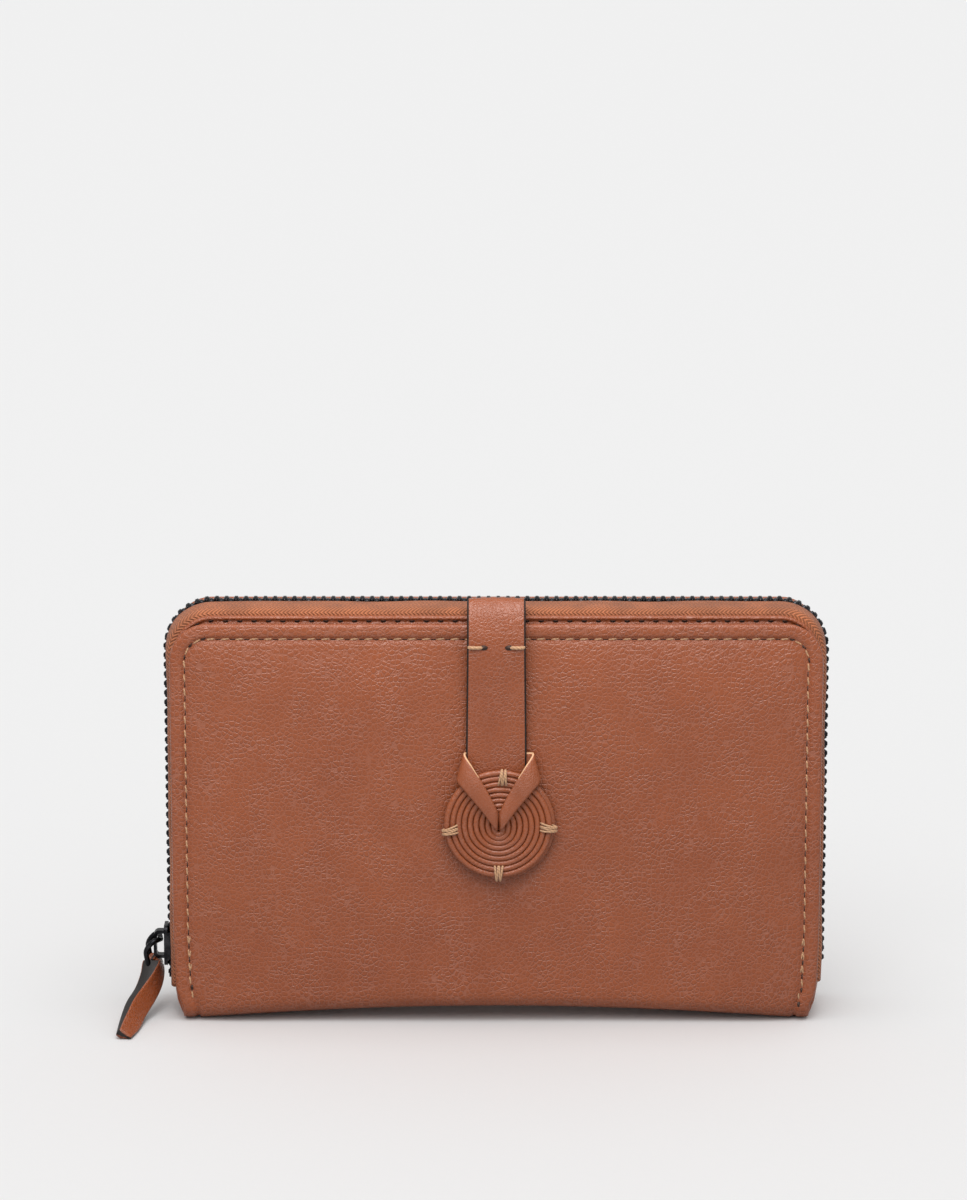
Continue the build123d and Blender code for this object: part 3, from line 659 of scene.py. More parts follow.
def grain_group():
    """Pebbled grain: rounded cells of two sizes, set apart by creases, on coordinates
    that slow noise has bent, with a slow tone over them."""
    group = bpy.data.node_groups.get("Pebbled grain")
    if group:
        return group
    group, given, result = new_group("Pebbled grain", [("Size", 1.15 * MM)],
                                     ["Height", "Crease", "Tone"])
    place = add(group, "TexCoord").outputs["Object"]
    bend = add(group, "TexNoise", {"Vector": place, "Scale": 230.0, "Detail": 2.0})
    middle = add(group, "VectorMath", {0: bend.outputs["Color"], 1: (0.5, 0.5, 0.5)},
                 operation="SUBTRACT").outputs[0]
    shift = add(group, "VectorMath", {0: middle, "Scale": 0.7 * MM},
                operation="SCALE").outputs[0]
    bent = add(group, "VectorMath", {0: place, 1: shift}, operation="ADD").outputs[0]
    cells = calc(group, "DIVIDE", 0.72, given["Size"])
    large = add(group, "TexVoronoi", {"Vector": bent, "Scale": cells, "Randomness": 0.95},
                feature="DISTANCE_TO_EDGE").outputs["Distance"]
    small = add(group, "TexVoronoi", {"Vector": bent, "Randomness": 1.0,
                                      "Scale": calc(group, "MULTIPLY", cells, 2.3)},
                feature="DISTANCE_TO_EDGE").outputs["Distance"]
    hill = ramp(group, large, 0.0, 0.20)
    bump = ramp(group, small, 0.0, 0.28)
    fine = noise(group, place, 2600.0, 2.0)
    depth = ramp(group, noise(group, place, 120.0, 2.0), 0.35, 0.65, 0.55, 1.0)
    height = calc(group, "ADD", calc(group, "MULTIPLY", hill, depth),
                  calc(group, "ADD", calc(group, "MULTIPLY", bump, 0.22),
                       calc(group, "MULTIPLY", fine, 0.16)))
    crease = calc(group, "MULTIPLY", calc(group, "SUBTRACT", 1.0, ramp(group, large, 0.0, 0.16)),
                  depth)
    slow = noise(group, place, 26.0, 3.0)
    middle = noise(group, place, 150.0, 4.0)
    tone = calc(group, "ADD", calc(group, "MULTIPLY", slow, 0.6),
                calc(group, "MULTIPLY", middle, 0.4))
    group.links.new(height, result["Height"])
    group.links.new(crease, result["Crease"])
    group.links.new(tone, result["Tone"])
    return group


def rub_group():
    """Handling marks: cloudy patches and faint long scuffs, as a mask from 0 to 1."""
    group = bpy.data.node_groups.get("Rubbed marks")
    if group:
        return group
    group, given, result = new_group("Rubbed marks", [("Scale", 60.0), ("Amount", 1.0)],
                                     ["Mask"])
    place = add(group, "TexCoord").outputs["Object"]
    long = add(group, "Mapping", {"Vector": place, "Scale": (0.25, 1.0, 1.6),
                                  "Rotation": (0.0, 0.5, 0.0)}).outputs[0]
    cloud = ramp(group, noise(group, place, given["Scale"], 5.0, 0.6), 0.42, 0.68)
    scuff = ramp(group, noise(group, long, calc(group, "MULTIPLY", given["Scale"], 22.0),
                              4.0, 0.7), 0.56, 0.74)
    both = calc(group, "MAXIMUM", cloud, calc(group, "MULTIPLY", scuff, 0.7))
    group.links.new(calc(group, "MULTIPLY", both, given["Amount"]), result["Mask"])
    return group


def twill_group():
    """Woven tape: herringbone of slanted yarns whose slant turns over from band to band
    across it. Across is the sheet's own V, and along is its U."""
    group = bpy.data.node_groups.get("Herringbone")
    if group:
        return group
    group, given, result = new_group("Herringbone", [("Yarn", 1.15 * MM), ("Band", 1.9 * MM)],
                                     ["Height", "Gap"])
    flat = add(group, "UVMap", uv_map="cloth").outputs[0]
    split = add(group, "SeparateXYZ", {0: flat}).outputs
    across = calc(group, "PINGPONG", split[1], given["Band"])
    slanted = calc(group, "ADD", split[0], calc(group, "MULTIPLY", across, 1.15))
    turn = calc(group, "MULTIPLY", calc(group, "DIVIDE", slanted, given["Yarn"]), 2 * math.pi)
    yarn = calc(group, "MULTIPLY_ADD", calc(group, "SINE", turn), 0.5, 0.5)
    weft = calc(group, "MULTIPLY", calc(group, "DIVIDE", split[1], given["Yarn"]), 3 * math.pi)
    rows = calc(group, "MULTIPLY_ADD", calc(group, "SINE", weft), 0.5, 0.5)
    height = calc(group, "MULTIPLY", yarn, calc(group, "MULTIPLY_ADD", rows, 0.3, 0.7))
    group.links.new(height, result["Height"])
    # Gap is high in the valleys between yarns, where the tape's cloth is painted darker as shade.
    group.links.new(calc(group, "SUBTRACT", 1.0, ramp(group, yarn, 0.0, 0.45)), result["Gap"])
    return group


def new_material(name, **sockets):
    """A material with a Principled shader, whose even values are set on its sockets."""
    material = bpy.data.materials.new(name)
    material.use_nodes = True
    tree = material.node_tree
    shader = tree.nodes["Principled BSDF"]
    for key, value in sockets.items():
        shader.inputs[key.replace("_", " ")].default_value = value
    return material, tree, shader.inputs


def emboss(tree, sockets, height, distance):
    """A Bump node that turns a height of 0 to 1 into relief."""
    bump = add(tree, "Bump", {"Height": height, "Distance": distance, "Strength": 1.0})
    tree.links.new(bump.outputs[0], sockets["Normal"])


def leather_look(name, size, deep, high, distance, rough, edge=None):
    """Grained leather: paler creases, partly wear and partly a painted highlight, a slow
    tone, rubbed tops that shine a little more, and a painted edge where the mesh's own
    edge value is 1."""
    material = bpy.data.materials.get(name)
    if material:
        return material
    material, tree, sockets = new_material(name, Specular_IOR_Level=0.42)
    grain = use(tree, grain_group(), Size=size)
    marks = use(tree, rub_group(), Scale=55.0, Amount=1.0)["Mask"]
    pale = tuple(0.95 * c + 0.07 for c in high)
    body = tint(tree, ramp(tree, grain["Tone"], 0.30, 0.70), deep, high)
    rubbed = tint(tree, calc(tree, "MULTIPLY", marks, 0.22), body,
                  tuple(min(1, c * 1.15) for c in high))
    # The creases are mixed towards pale: partly wear, partly a painted highlight on the crease
    # lines.
    colour = tint(tree, calc(tree, "MULTIPLY", grain["Crease"], 0.42), rubbed, pale)
    gloss = calc(tree, "MULTIPLY_ADD", marks, -0.10, rough)
    gloss = calc(tree, "MULTIPLY_ADD", grain["Crease"], -0.06, gloss)
    height = grain["Height"]
    if edge is not None:
        paint = add(tree, "Attribute", attribute_name="edge").outputs["Fac"]
        colour = tint(tree, ramp(tree, paint, 0.35, 0.65), colour, edge)
        gloss = calc(tree, "MULTIPLY_ADD", ramp(tree, paint, 0.35, 0.65), 0.30, gloss)
        height = calc(tree, "MULTIPLY", height,
                      calc(tree, "SUBTRACT", 1.0, ramp(tree, paint, 0.3, 0.7, 0.0, 0.8)))
    tree.links.new(colour, sockets["Base Color"])
    tree.links.new(gloss, sockets["Roughness"])
    emboss(tree, sockets, height, distance)
    return material


PAINT = (0.009, 0.006, 0.005)


def leather_material():
    """The outer hides: pebbled, with paler creases that are partly wear and partly a painted
    highlight.
    """
    s = bpy.context.scene.wallet_leather
    return leather_look("Pebbled hide", s.grain, s.deep, s.high, 0.12 * MM, 0.42)


def strap_material():
    """The strap and the pull: finer grain, and painted black edges."""
    s = bpy.context.scene.wallet_leather
    return leather_look("Strap hide", 0.85 * s.grain, s.deep, s.high, 0.10 * MM, 0.36, PAINT)


def smooth_material():
    """The ribbon: almost smooth, with a raw pale edge."""
    s = bpy.context.scene.wallet_leather
    return leather_look("Smooth hide", 0.5 * s.grain, tuple(0.72 * c for c in s.smooth),
                        s.smooth, 0.06 * MM, 0.40, tuple(0.9 * c for c in (0.62, 0.36, 0.2)))


def slot_material():
    """The thin hide of the card slots and bellows."""
    s = bpy.context.scene.wallet_leather
    return leather_look("Card slot hide", 0.8 * s.grain, tuple(0.9 * c for c in s.deep), s.high,
                        0.06 * MM, 0.5)


def thread_material():
    """Waxed thread: darker in the grooves of its twist, which is painted shade, a slow tone, and a
    little fuzz.
    """
    material = bpy.data.materials.get("Waxed thread")
    if material:
        return material
    pale = tuple(bpy.context.scene.wallet_sewing.colour)
    material, tree, sockets = new_material("Waxed thread", Sheen_Weight=0.15)
    place = add(tree, "TexCoord").outputs["Object"]
    twist = add(tree, "TexWave", {"Vector": place, "Scale": 520.0, "Distortion": 2.0,
                                  "Detail": 1.0}, bands_direction="DIAGONAL").outputs["Fac"]
    dirt = noise(tree, place, 220.0)
    # shade: darker in the twist's grooves, which is painted shade, varied by a slow random tone.
    shade = calc(tree, "MULTIPLY", ramp(tree, dirt, 0.35, 0.7, 0.6, 1.0), twist)
    tree.links.new(tint(tree, shade, tuple(0.62 * c for c in pale), pale),
                   sockets["Base Color"])
    tree.links.new(ramp(tree, dirt, 0.3, 0.7, 0.55, 0.75), sockets["Roughness"])
    emboss(tree, sockets, twist, 0.05 * MM)
    return material


def hole_shade_material():
    """The dark inside of a needle hole: painted shade on a shallow dish."""
    material = bpy.data.materials.get("Needle hole shade")
    if material:
        return material
    material, tree, sockets = new_material("Needle hole shade")
    place = add(tree, "TexCoord").outputs["Object"]
    speck = noise(tree, place, 1500.0)
    # Near-black colour of the hole: painted shade of the recess.
    tree.links.new(tint(tree, speck, (0.022, 0.009, 0.005), (0.06, 0.022, 0.011)),
                   sockets["Base Color"])
    tree.links.new(ramp(tree, speck, 0.3, 0.7, 0.6, 0.8), sockets["Roughness"])
    return material


def tape_material():
    """The zip's woven tape."""
    material = bpy.data.materials.get("Zip cloth")
    if material:
        return material
    colour = tuple(bpy.context.scene.wallet_zip.tape)
    material, tree, sockets = new_material("Zip cloth", Sheen_Weight=0.04)
    weave = use(tree, twill_group())
    place = add(tree, "TexCoord").outputs["Object"]
    fade = ramp(tree, noise(tree, place, 90.0), 0.35, 0.65)
    body = tint(tree, fade, tuple(0.8 * c for c in colour), tuple(1.1 * c for c in colour))
    # Darker cloth in the gaps between yarns: painted shade in the weave.
    tree.links.new(tint(tree, calc(tree, "MULTIPLY", weave["Gap"], 0.8), body,
                        tuple(0.30 * c for c in colour)), sockets["Base Color"])
    tree.links.new(ramp(tree, weave["Height"], 0, 1, 0.85, 0.65), sockets["Roughness"])
    emboss(tree, sockets, weave["Height"], 0.28 * MM)
    return material


def metal_look(name, colour, rough, distance):
    """Plated metal: cast pitting, rubbed edges of gloss, and slow patches."""
    material = bpy.data.materials.get(name)
    if material:
        return material
    material, tree, sockets = new_material(name, Metallic=1.0)
    place = add(tree, "TexCoord").outputs["Object"]
    pits = noise(tree, place, 1900.0, 3.0)
    marks = use(tree, rub_group(), Scale=240.0, Amount=1.0)["Mask"]
    tree.links.new(tint(tree, marks, colour, tuple(min(1, 2.0 * c + 0.012) for c in colour)),
                   sockets["Base Color"])
    tree.links.new(calc(tree, "MULTIPLY_ADD", marks, -0.12,
                        ramp(tree, pits, 0.3, 0.7, rough - 0.04, rough + 0.06)),
                   sockets["Roughness"])
    emboss(tree, sockets, pits, distance)
    return material


def black_metal():
    """The zip, slider and bail."""
    return metal_look("Black plate", tuple(bpy.context.scene.wallet_zip.metal), 0.36,
                      0.02 * MM)


def snap_metal():
    """The magnetic snap."""
    return metal_look("Snap plate", (0.42, 0.36, 0.27), 0.30, 0.01 * MM)


def lining_material():
    """The plain-woven lining: warp over weft in turn, both as sine rows."""
    material = bpy.data.materials.get("Lining cloth")
    if material:
        return material
    material, tree, sockets = new_material("Lining cloth", Sheen_Weight=0.2)
    place = add(tree, "TexCoord").outputs["Object"]
    split = add(tree, "SeparateXYZ", {0: place}).outputs
    warp = calc(tree, "SINE", calc(tree, "MULTIPLY", split[0], 2 * math.pi / (0.6 * MM)))
    weft = calc(tree, "SINE", calc(tree, "MULTIPLY", calc(tree, "ADD", split[2], split[1]),
                                   2 * math.pi / (0.6 * MM)))
    weave = calc(tree, "MULTIPLY_ADD", calc(tree, "MULTIPLY", warp, weft), 0.5, 0.5)
    cloud = ramp(tree, noise(tree, place, 45.0), 0.35, 0.65)
    body = tint(tree, cloud, (0.090, 0.040, 0.024), (0.130, 0.060, 0.036))
    tree.links.new(tint(tree, calc(tree, "MULTIPLY", weave, 0.5), body,
                        (0.045, 0.020, 0.012)), sockets["Base Color"])
    tree.links.new(ramp(tree, weave, 0, 1, 0.68, 0.85), sockets["Roughness"])
    emboss(tree, sockets, weave, 0.06 * MM)
    return material


def board_material():
    """Grey-brown pressed board: short fibres."""
    material = bpy.data.materials.get("Pressed board")
    if material:
        return material
    material, tree, sockets = new_material("Pressed board")
    place = add(tree, "TexCoord").outputs["Object"]
    fibre = noise(tree, add(tree, "Mapping", {"Vector": place, "Scale": (0.3, 1, 1)}).outputs[0],
                  900.0, 4.0)
    tree.links.new(tint(tree, ramp(tree, fibre, 0.35, 0.65), (0.20, 0.15, 0.11),
                        (0.34, 0.27, 0.20)), sockets["Base Color"])
    tree.links.new(ramp(tree, fibre, 0.3, 0.7, 0.8, 0.95), sockets["Roughness"])
    emboss(tree, sockets, fibre, 0.05 * MM)
    return material


# ------------------------------------------------------------------ closed sheets
def thick_sheet(name, middle, thick, uv=None, edge=None):
    """A sheet of even thickness round a grid of middle points, (rows, cols, 3). Its
    normal is the cross product of the grid's two directions; each row becomes a ring
    over one face and back under the other. edge marks the two long sides."""
    across = np.gradient(middle, axis=1)
    along = np.gradient(middle, axis=0)
    normal = unit(np.cross(along, across))
    cols = middle.shape[1]
    u = np.linspace(-1, 1, cols)
    round_off = np.where(np.abs(u) == 1, 0.45, 1.0)[None, :, None]
    over = middle + normal * (thick / 2 * round_off)
    under = middle - normal * (thick / 2 * round_off)
    rings = np.concatenate([over, under[:, ::-1]], 1)
    if uv is None:
        width = np.cumsum(np.linalg.norm(np.diff(middle, axis=1, prepend=middle[:, :1]),
                                         axis=2), axis=1)
        reach = np.cumsum(np.linalg.norm(np.diff(middle, axis=0, prepend=middle[:1]),
                                         axis=2), axis=0)
        uv = np.stack([reach, width], -1)
    flat = np.concatenate([uv, uv[:, ::-1] + 0.3], 1)
    marks = [] if edge is None else [("edge", np.concatenate([edge, edge[:, ::-1]], 1))]
    return loft(name, rings, uv=flat, attributes=marks)


def paint_with(piece, material):
    """Gives a piece its material, and the piece back."""
    piece.data.materials.append(material)
    return piece


def way_at(points, out, s, distance):
    """Places and outward directions at given distances along a way."""
    place = np.stack([np.interp(distance, s, points[:, k]) for k in range(3)], 1)
    turned = np.stack([np.interp(distance, s, out[:, k]) for k in range(3)], 1)
    return place, unit(turned)


CHAIN_TOP = COVER_HIGH[2]
CORNER = 11 * MM


def make_tape(name, side, body, node):
    """Zip tape round the edge: a cloth strip that leaves the seam inside the cover,
    turns outwards over its lip and lies level beside the teeth. side is -1 in front."""
    seam = COVER_HIGH[1] if side < 0 else BACK_LOW[1]
    y = np.array([seam + 0.1 * MM * -side, seam + 0.1 * MM * -side,
                  seam - side * 0.35 * MM, seam - side * 1.6 * MM, ZIP_Y + side * 5.2 * MM,
                  ZIP_Y + side * 3.3 * MM, ZIP_Y + side * 2.2 * MM])
    rise = np.array([-6.5, -2.0, 0.9, 2.2, 2.7, 2.75, 2.6] if side < 0 else
                    [-6.5, -2.0, 0.2, 0.8, 1.7, 2.3, 2.4]) * MM
    profile = spline(np.stack([y, rise], 1), 27)
    points, out, s = edge_way(0, 10.5 * MM, 9 * MM, CHAIN_TOP, CORNER, 1.3 * MM)
    high = 0.80 + 0.20 * smooth_step(0, 0.8, out[:, 2])
    wave = 0.10 * MM * np.sin(s / 0.0065) + 0.08 * MM * np.sin(s / 0.0041 + side)
    lift = profile[None, :, 1:2] * np.where(profile[None, :, 1:2] > 0, high[:, None, None], 1)
    middle = points[:, None] + out[:, None] * (lift + wave[:, None, None] * (lift > 0))
    middle[..., 1] = profile[None, :, 0]
    width = np.cumsum(np.hypot(*np.diff(profile, axis=0, prepend=profile[:1]).T))
    uv = np.stack(np.broadcast_arrays(s[:, None], width[None]), -1)
    tape = paint_with(thick_sheet(name, middle, 0.7 * MM, uv), tape_material())
    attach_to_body(tape, body)
    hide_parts(node)
    return tape


def tooth_shape():
    """One tooth with its root at -Y and its tip at +Y: eight-sided sections whose width
    and height shrink towards both ends, and a shoulder before the tip."""
    station = np.array([-2.6, -2.35, -1.0, -0.45, 0.25, 0.55]) * MM
    width = np.array([1.35, 1.9, 1.9, 1.35, 0.95, 0.6]) * MM
    height = np.array([1.9, 2.5, 2.5, 2.35, 2.2, 1.7]) * MM
    a = np.linspace(0, 2 * np.pi, 8, endpoint=False) + np.pi / 8
    ring = np.stack([np.broadcast_to(station[:, None], (6, 8)),
                     width[:, None] / 2 * np.cos(a) * 1.06, height[:, None] / 2 * np.sin(a) * 1.06],
                    -1)[..., [1, 0, 2]]
    return ring.reshape(-1, 3), ring_faces(6, 8)


def make_teeth(name, side, body, node, shift):
    """A row of teeth along the chain, each a copy of one tooth."""
    pitch = bpy.context.scene.wallet_zip.pitch
    points, out, s = edge_way(2.3 * MM, CHAIN_LOW_Z, 9 * MM, CHAIN_TOP, CORNER, 0.2 * MM)
    places, outward = way_at(points, out, s, np.arange(shift * pitch, s[-1], pitch))
    places[:, 1] = ZIP_Y
    tip = np.zeros_like(outward)
    tip[:, 1] = -side
    axes = np.stack([np.cross(tip, outward), tip, outward], 1)
    base, faces = tooth_shape()
    teeth = paint_with(copies(name, base, faces, places, axes), black_metal())
    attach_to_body(teeth, body)
    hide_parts(node)
    return teeth


CHAIN_LOW_Z = 14 * MM


# -------------------------------------------------------------- strap, disc, ribbon
def strap_line():
    """The strap's middle line in the YZ plane, a spline: up from the seam, over the two
    lips, forward in a wide bend, and down behind the disc. Returns points and outward."""
    y0, top = BEND_Y + BEND_R, BEND_Z + 5.2 * MM
    low = BACKING_LOW[2]
    knots = np.array([(y0, BEND_LOW[2]), (y0, BEND_Z - 2.5 * MM),
                      (y0 - 0.9 * MM, BEND_Z + 3.2 * MM), (BEND_Y - 0.1 * MM, top),
                      (BEND_Y - 2.7 * MM, BEND_Z + 3.0 * MM),
                      (BEND_Y - 4.4 * MM, BEND_Z - 1.5 * MM),
                      (BEND_Y - 5.2 * MM, BEND_Z - 6.5 * MM),
                      (BEND_Y - 5.2 * MM, BEND_Z - 12 * MM), (BEND_Y - 4.7 * MM, BEND_Z - 20 * MM),
                      (BEND_Y - 4.1 * MM, BEND_Z - 32 * MM), (BEND_Y - 3.8 * MM, low + 22 * MM),
                      (BEND_Y - 3.7 * MM, low + 8 * MM), (BEND_Y - 3.7 * MM, low)])
    flat = spline(knots, 150)
    points = np.stack([0 * flat[:, 0], flat[:, 0], flat[:, 1]], 1)
    tangent = unit(np.gradient(points, axis=0))
    outward = np.stack([0 * flat[:, 0], tangent[:, 2], -tangent[:, 1]], 1)
    return points, outward


def make_strap():
    """The strap, one piece of doubled leather: a rounded oblong section carried along
    its line, with its two sides painted."""
    points, outward = strap_line()
    half = STRAP_HALF + 0.1 * MM - 0.35 * MM * (
        1 - smooth_step(0, 0.045, np.maximum(BEND_Z - points[:, 2], 0)))
    extra = np.concatenate([[-1, -0.985, -0.965, -0.94], np.linspace(-0.88, 0.88, 13),
                            [0.94, 0.965, 0.985, 1]])
    x = np.concatenate([extra, [1.0], extra[::-1], [-1.0]])
    t = STRAP_T / 2
    d = 1 - np.abs(np.concatenate([extra, [1.0], extra[::-1], [-1.0]]))
    d = np.minimum(d * STRAP_HALF, 0.5 * MM)
    drop = 0.5 * MM - np.sqrt(np.maximum((0.5 * MM) ** 2 - (0.5 * MM - d) ** 2, 0))
    level = np.concatenate([np.full(21, 1.0), [0.0], np.full(21, -1.0), [0.0]])
    crown = 0.30 * MM * (1 - x ** 2)
    height = level * (t - drop) + np.where(level > 0, crown, 0)
    bulge = np.where(level == 0, 0.12 * MM, 0.0)
    rings = (points[:, None] + outward[:, None] * height[None, :, None])
    rings[..., 0] = x[None] * (half[:, None] + bulge[None])
    mark = np.broadcast_to((np.abs(x) > 0.95).astype(float)[None], rings.shape[:2])
    strap = paint_with(loft("strap_leather", rings, attributes=[("edge", mark)]),
                       strap_material())
    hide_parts("strap_bend", "strap", "strap_backing")
    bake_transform(strap)
    return strap


DISC_X = DISC[0] + 0.9 * MM


def coil_path():
    """The cord's middle line: an Archimedes spiral, r = r0 + pitch * turns, drawn out
    into a short upright slit at the centre."""
    turns = bpy.context.scene.wallet_disc.turns
    r0 = 0.75 * MM
    pitch = (DISC_R - 0.84 * MM - r0) / turns
    a = np.linspace(0, turns * 2 * np.pi, int(turns * 72)) + 0.5
    r = r0 + pitch * a / (2 * np.pi)
    slit = 1.6 * MM * np.exp(-r / (3.2 * MM))
    x = DISC_X + r * np.sin(a) * (1 - 0.35 * np.exp(-r / (2.5 * MM)))
    z = DISC[2] + r * np.cos(a) + slit * np.sign(np.cos(a)) * np.minimum(1, np.abs(np.cos(a)) * 2)
    y = DISC[1] + 0.06 * MM * np.sin(5.3 * a) + 0.25 * MM * (r / DISC_R) ** 2
    return np.stack([x, y, z], 1), pitch, r


def make_disc():
    """The coiled cord of the disc: a smooth leather tube along the spiral."""
    path, pitch, r = coil_path()
    a = np.linspace(0, 2 * np.pi, len(path))
    radius = 0.52 * pitch * (1 + 0.02 * np.sin(61 * a))
    rings = tube_rings(path, radius, 10, 0.98)
    coil = paint_with(loft("coil_cord", rings), cord_material())
    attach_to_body(coil, "strap")
    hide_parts("coil_disc")
    rows, cols = 14, 64
    t = np.linspace(0, 1, rows)
    r = (DISC_R - 0.3 * MM) * np.minimum(1, np.linspace(0.02, 1.0, rows))
    turn = np.linspace(0, 2 * np.pi, cols, endpoint=False)
    low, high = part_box("disc_base")
    drop = 0.25 * MM * smooth_step(0.85, 1.0, t)
    face = np.stack([DISC_X + r[:, None] * np.cos(turn), np.broadcast_to((low[1] + drop)[:, None],
                     (rows, cols)), DISC[2] + r[:, None] * np.sin(turn)], -1)
    back = face[::-1].copy()
    back[..., 1] = high[1] - drop[::-1, None]
    base = paint_with(loft("disc_backing", np.concatenate([face, back])), smooth_material())
    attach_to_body(base, "strap")
    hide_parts("disc_base")


def make_ribbon():
    """The ribbon's two ears: each is ruled between an inner and an outer curve, which
    start behind the strap's edge, curl round it and run down to the slit."""
    outer = np.array([(-3, -15.3, 13), (-10, -15.7, 12.6), (-11.9, -18.0, 12.8),
                      (-9.5, -20.5, 10.4), (-5, -20.8, 5), (-1.3, -20.5, -0.2),
                      (-0.4, -18.4, -1.6)]) * MM
    inner = np.array([(-3, -15.3, 20), (-8.8, -15.9, 21), (-9.6, -17.6, 20.6),
                      (-7.2, -20.0, 17.2), (-3.2, -20.8, 10.6), (-0.6, -20.5, 5.2),
                      (-0.2, -18.4, 3)]) * MM
    count = 60
    a, b = spline(outer, count), spline(inner, count)
    v = np.linspace(0, 1, 13)[None, :, None]
    sheet = a[:, None] * (1 - v) + b[:, None] * v
    sheet[..., 1] -= 0.35 * MM * np.sin(np.pi * v[..., 0])
    sheet[..., 2] += DISC[2]
    edge = np.zeros((count, 13))
    edge[8:34, -1] = 1
    for name, sign in (("ribbon_left", 1), ("ribbon_right", -1)):
        half = sheet * np.array([sign, 1, 1])
        half[..., 0] += 0.7 * MM
        leg = paint_with(thick_sheet(name, half, 0.8 * MM, edge=edge), smooth_material())
        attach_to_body(leg, "strap")
        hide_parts("ribbon")


def make_bindings():
    """Four bindings round the disc's rim: strands side by side, each a thread that goes
    over the outer turns of the cord and down behind them."""
    rings = []
    t = np.linspace(0, 1, 15)
    reach = 4.3 * MM
    front, back = COIL_LOW[1] - 0.15 * MM, COIL_HIGH[1] + 0.1 * MM
    span = (DISC_R - reach / 2) + (reach / 2 + 0.15 * MM) * np.cos(2 * np.pi * t)
    depth = (front + back) / 2 - (back - front) / 2 * np.sin(2 * np.pi * t) * 1.25
    pieces = []
    for bearing, lean, strands in ((math.radians(4), 0.02, 4), (math.radians(93), 0.1, 4),
                                   (math.radians(181), 0.0, 4), (math.radians(264), -0.18, 4)):
        for k in range(strands):
            aside = (k - (strands - 1) / 2) * 0.56 * MM
            c, s = math.sin(bearing), math.cos(bearing)
            cross = (0.13, -0.06, 0.08, -0.12)[k]
            skew = aside + (lean + cross) * (span - DISC_R + reach / 2)
            path = np.stack([DISC_X + span * c + skew * s, depth,
                             DISC[2] + span * s - skew * c], 1)[:-1]
            pieces.append(path)
    tubes = np.stack(pieces)
    ahead = unit(np.roll(tubes, -1, axis=1) - np.roll(tubes, 1, axis=1))
    up = np.array([0.0, 1.0, 0.0])
    side = np.stack([np.broadcast_to(unit(np.cross(unit(p - np.array([DISC_X, 0, DISC[2]])
                     * np.array([1, 0, 1])), up)).mean(0), p.shape) for p in tubes])
    side = unit(side - ahead * np.sum(side * ahead, -1, keepdims=True))
    over = np.cross(ahead, side)
    a = np.linspace(0, 2 * np.pi, 8, endpoint=False)[None, None, :, None]
    rings = tubes[:, :, None] + 0.31 * MM * (np.cos(a) * side[:, :, None]
                                             + np.sin(a) * over[:, :, None])
    n, rows, cols = rings.shape[:3]
    faces = grid_faces(rows, cols, True, True)
    shift = rows * cols * np.arange(n)[:, None, None]
    bind = make_mesh("disc_bindings", rings.reshape(-1, 3),
                     [(faces[None] + shift).reshape(-1, 4)])
    paint_with(bind, thread_material())
    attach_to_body(bind, "strap")
    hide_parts("thread_bindings")


def cord_material():
    """The hide that is rolled into the disc."""
    s = bpy.context.scene.wallet_leather
    return leather_look("Rolled cord", 0.7 * s.grain, tuple(0.78 * c for c in s.smooth),
                        tuple(0.98 * c for c in s.smooth), 0.05 * MM, 0.36)


def make_tacks():
    """Two tack stitches where the strap is caught down, each with a needle hole."""
    sewing = bpy.context.scene.wallet_sewing
    points, _ = strap_line()
    z = BEND_Z - 6.8 * MM
    k = int(np.argmin(np.abs(points[:, 2] - z) + (points[:, 1] > BEND_Y)))
    y = points[k, 1] - STRAP_T / 2 - 0.33 * MM
    base, faces = stitch_shape(4.4 * MM, 1.9 * sewing.thick)
    places = np.array([(-STRAP_HALF + 2.5 * MM, y, z), (STRAP_HALF - 2.5 * MM, y, z)])
    axes = np.array([[(1, 0, 0), (0, 0, 1), (0, -1, 0)]] * 2, float)
    tack = paint_with(copies("strap_tacks", base, faces, places, axes), thread_material())
    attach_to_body(tack, "strap")
    # Dark oval holes at the stitches' inner ends: painted shade of the holes.
    base, faces = hole_shape(2.6 * MM, 1.5 * MM)
    inner = places + np.array([[2.3, -0.10, 0], [-2.3, -0.10, 0]]) * MM
    holes = paint_with(copies("strap_tack_holes", base, faces, inner, axes), hole_shade_material())
    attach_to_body(holes, "strap")


# ------------------------------------------------------------------ slider and pull
def make_bail():
    """The bail: a bent wire, out from the bridge, down, and across at the bottom."""
    half = 4.2 * MM
    y0 = (BAIL_LOW[1] + BAIL_HIGH[1]) / 2
    x_bar, z_bar = BAIL_LOW[0] + 0.7 * MM, BAIL_LOW[2] + 0.7 * MM
    x_top, z_top = BRIDGE_LOW[0] + 2.0 * MM, BAIL_HIGH[2] - 0.4 * MM
    arm = np.array([(x_top, 0, z_top - 0.6 * MM), (x_top - 0.6 * MM, 0.7, z_top),
                    (x_top - 2.2 * MM, 1, z_top - 0.5 * MM),
                    (x_bar - 0.9 * MM, 1, z_top - 3.0 * MM),
                    (x_bar - 0.5 * MM, 1, z_bar + 1.8 * MM), (x_bar, 0.8, z_bar),
                    (x_bar, 0, z_bar)])
    near, far = arm.copy(), arm[::-1].copy()
    near[:, 1] = y0 - half * arm[:, 1]
    far[:, 1] = y0 + half * arm[::-1, 1]
    control = np.vstack([near, far[1:]])
    path = spline(control, 90)
    bail = paint_with(loft("bail_wire", tube_rings(path, 0.78 * MM, 12, up=(0.35, 0.25, 0.9))),
                      black_metal())
    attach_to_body(bail, "bail")
    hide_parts("bail")


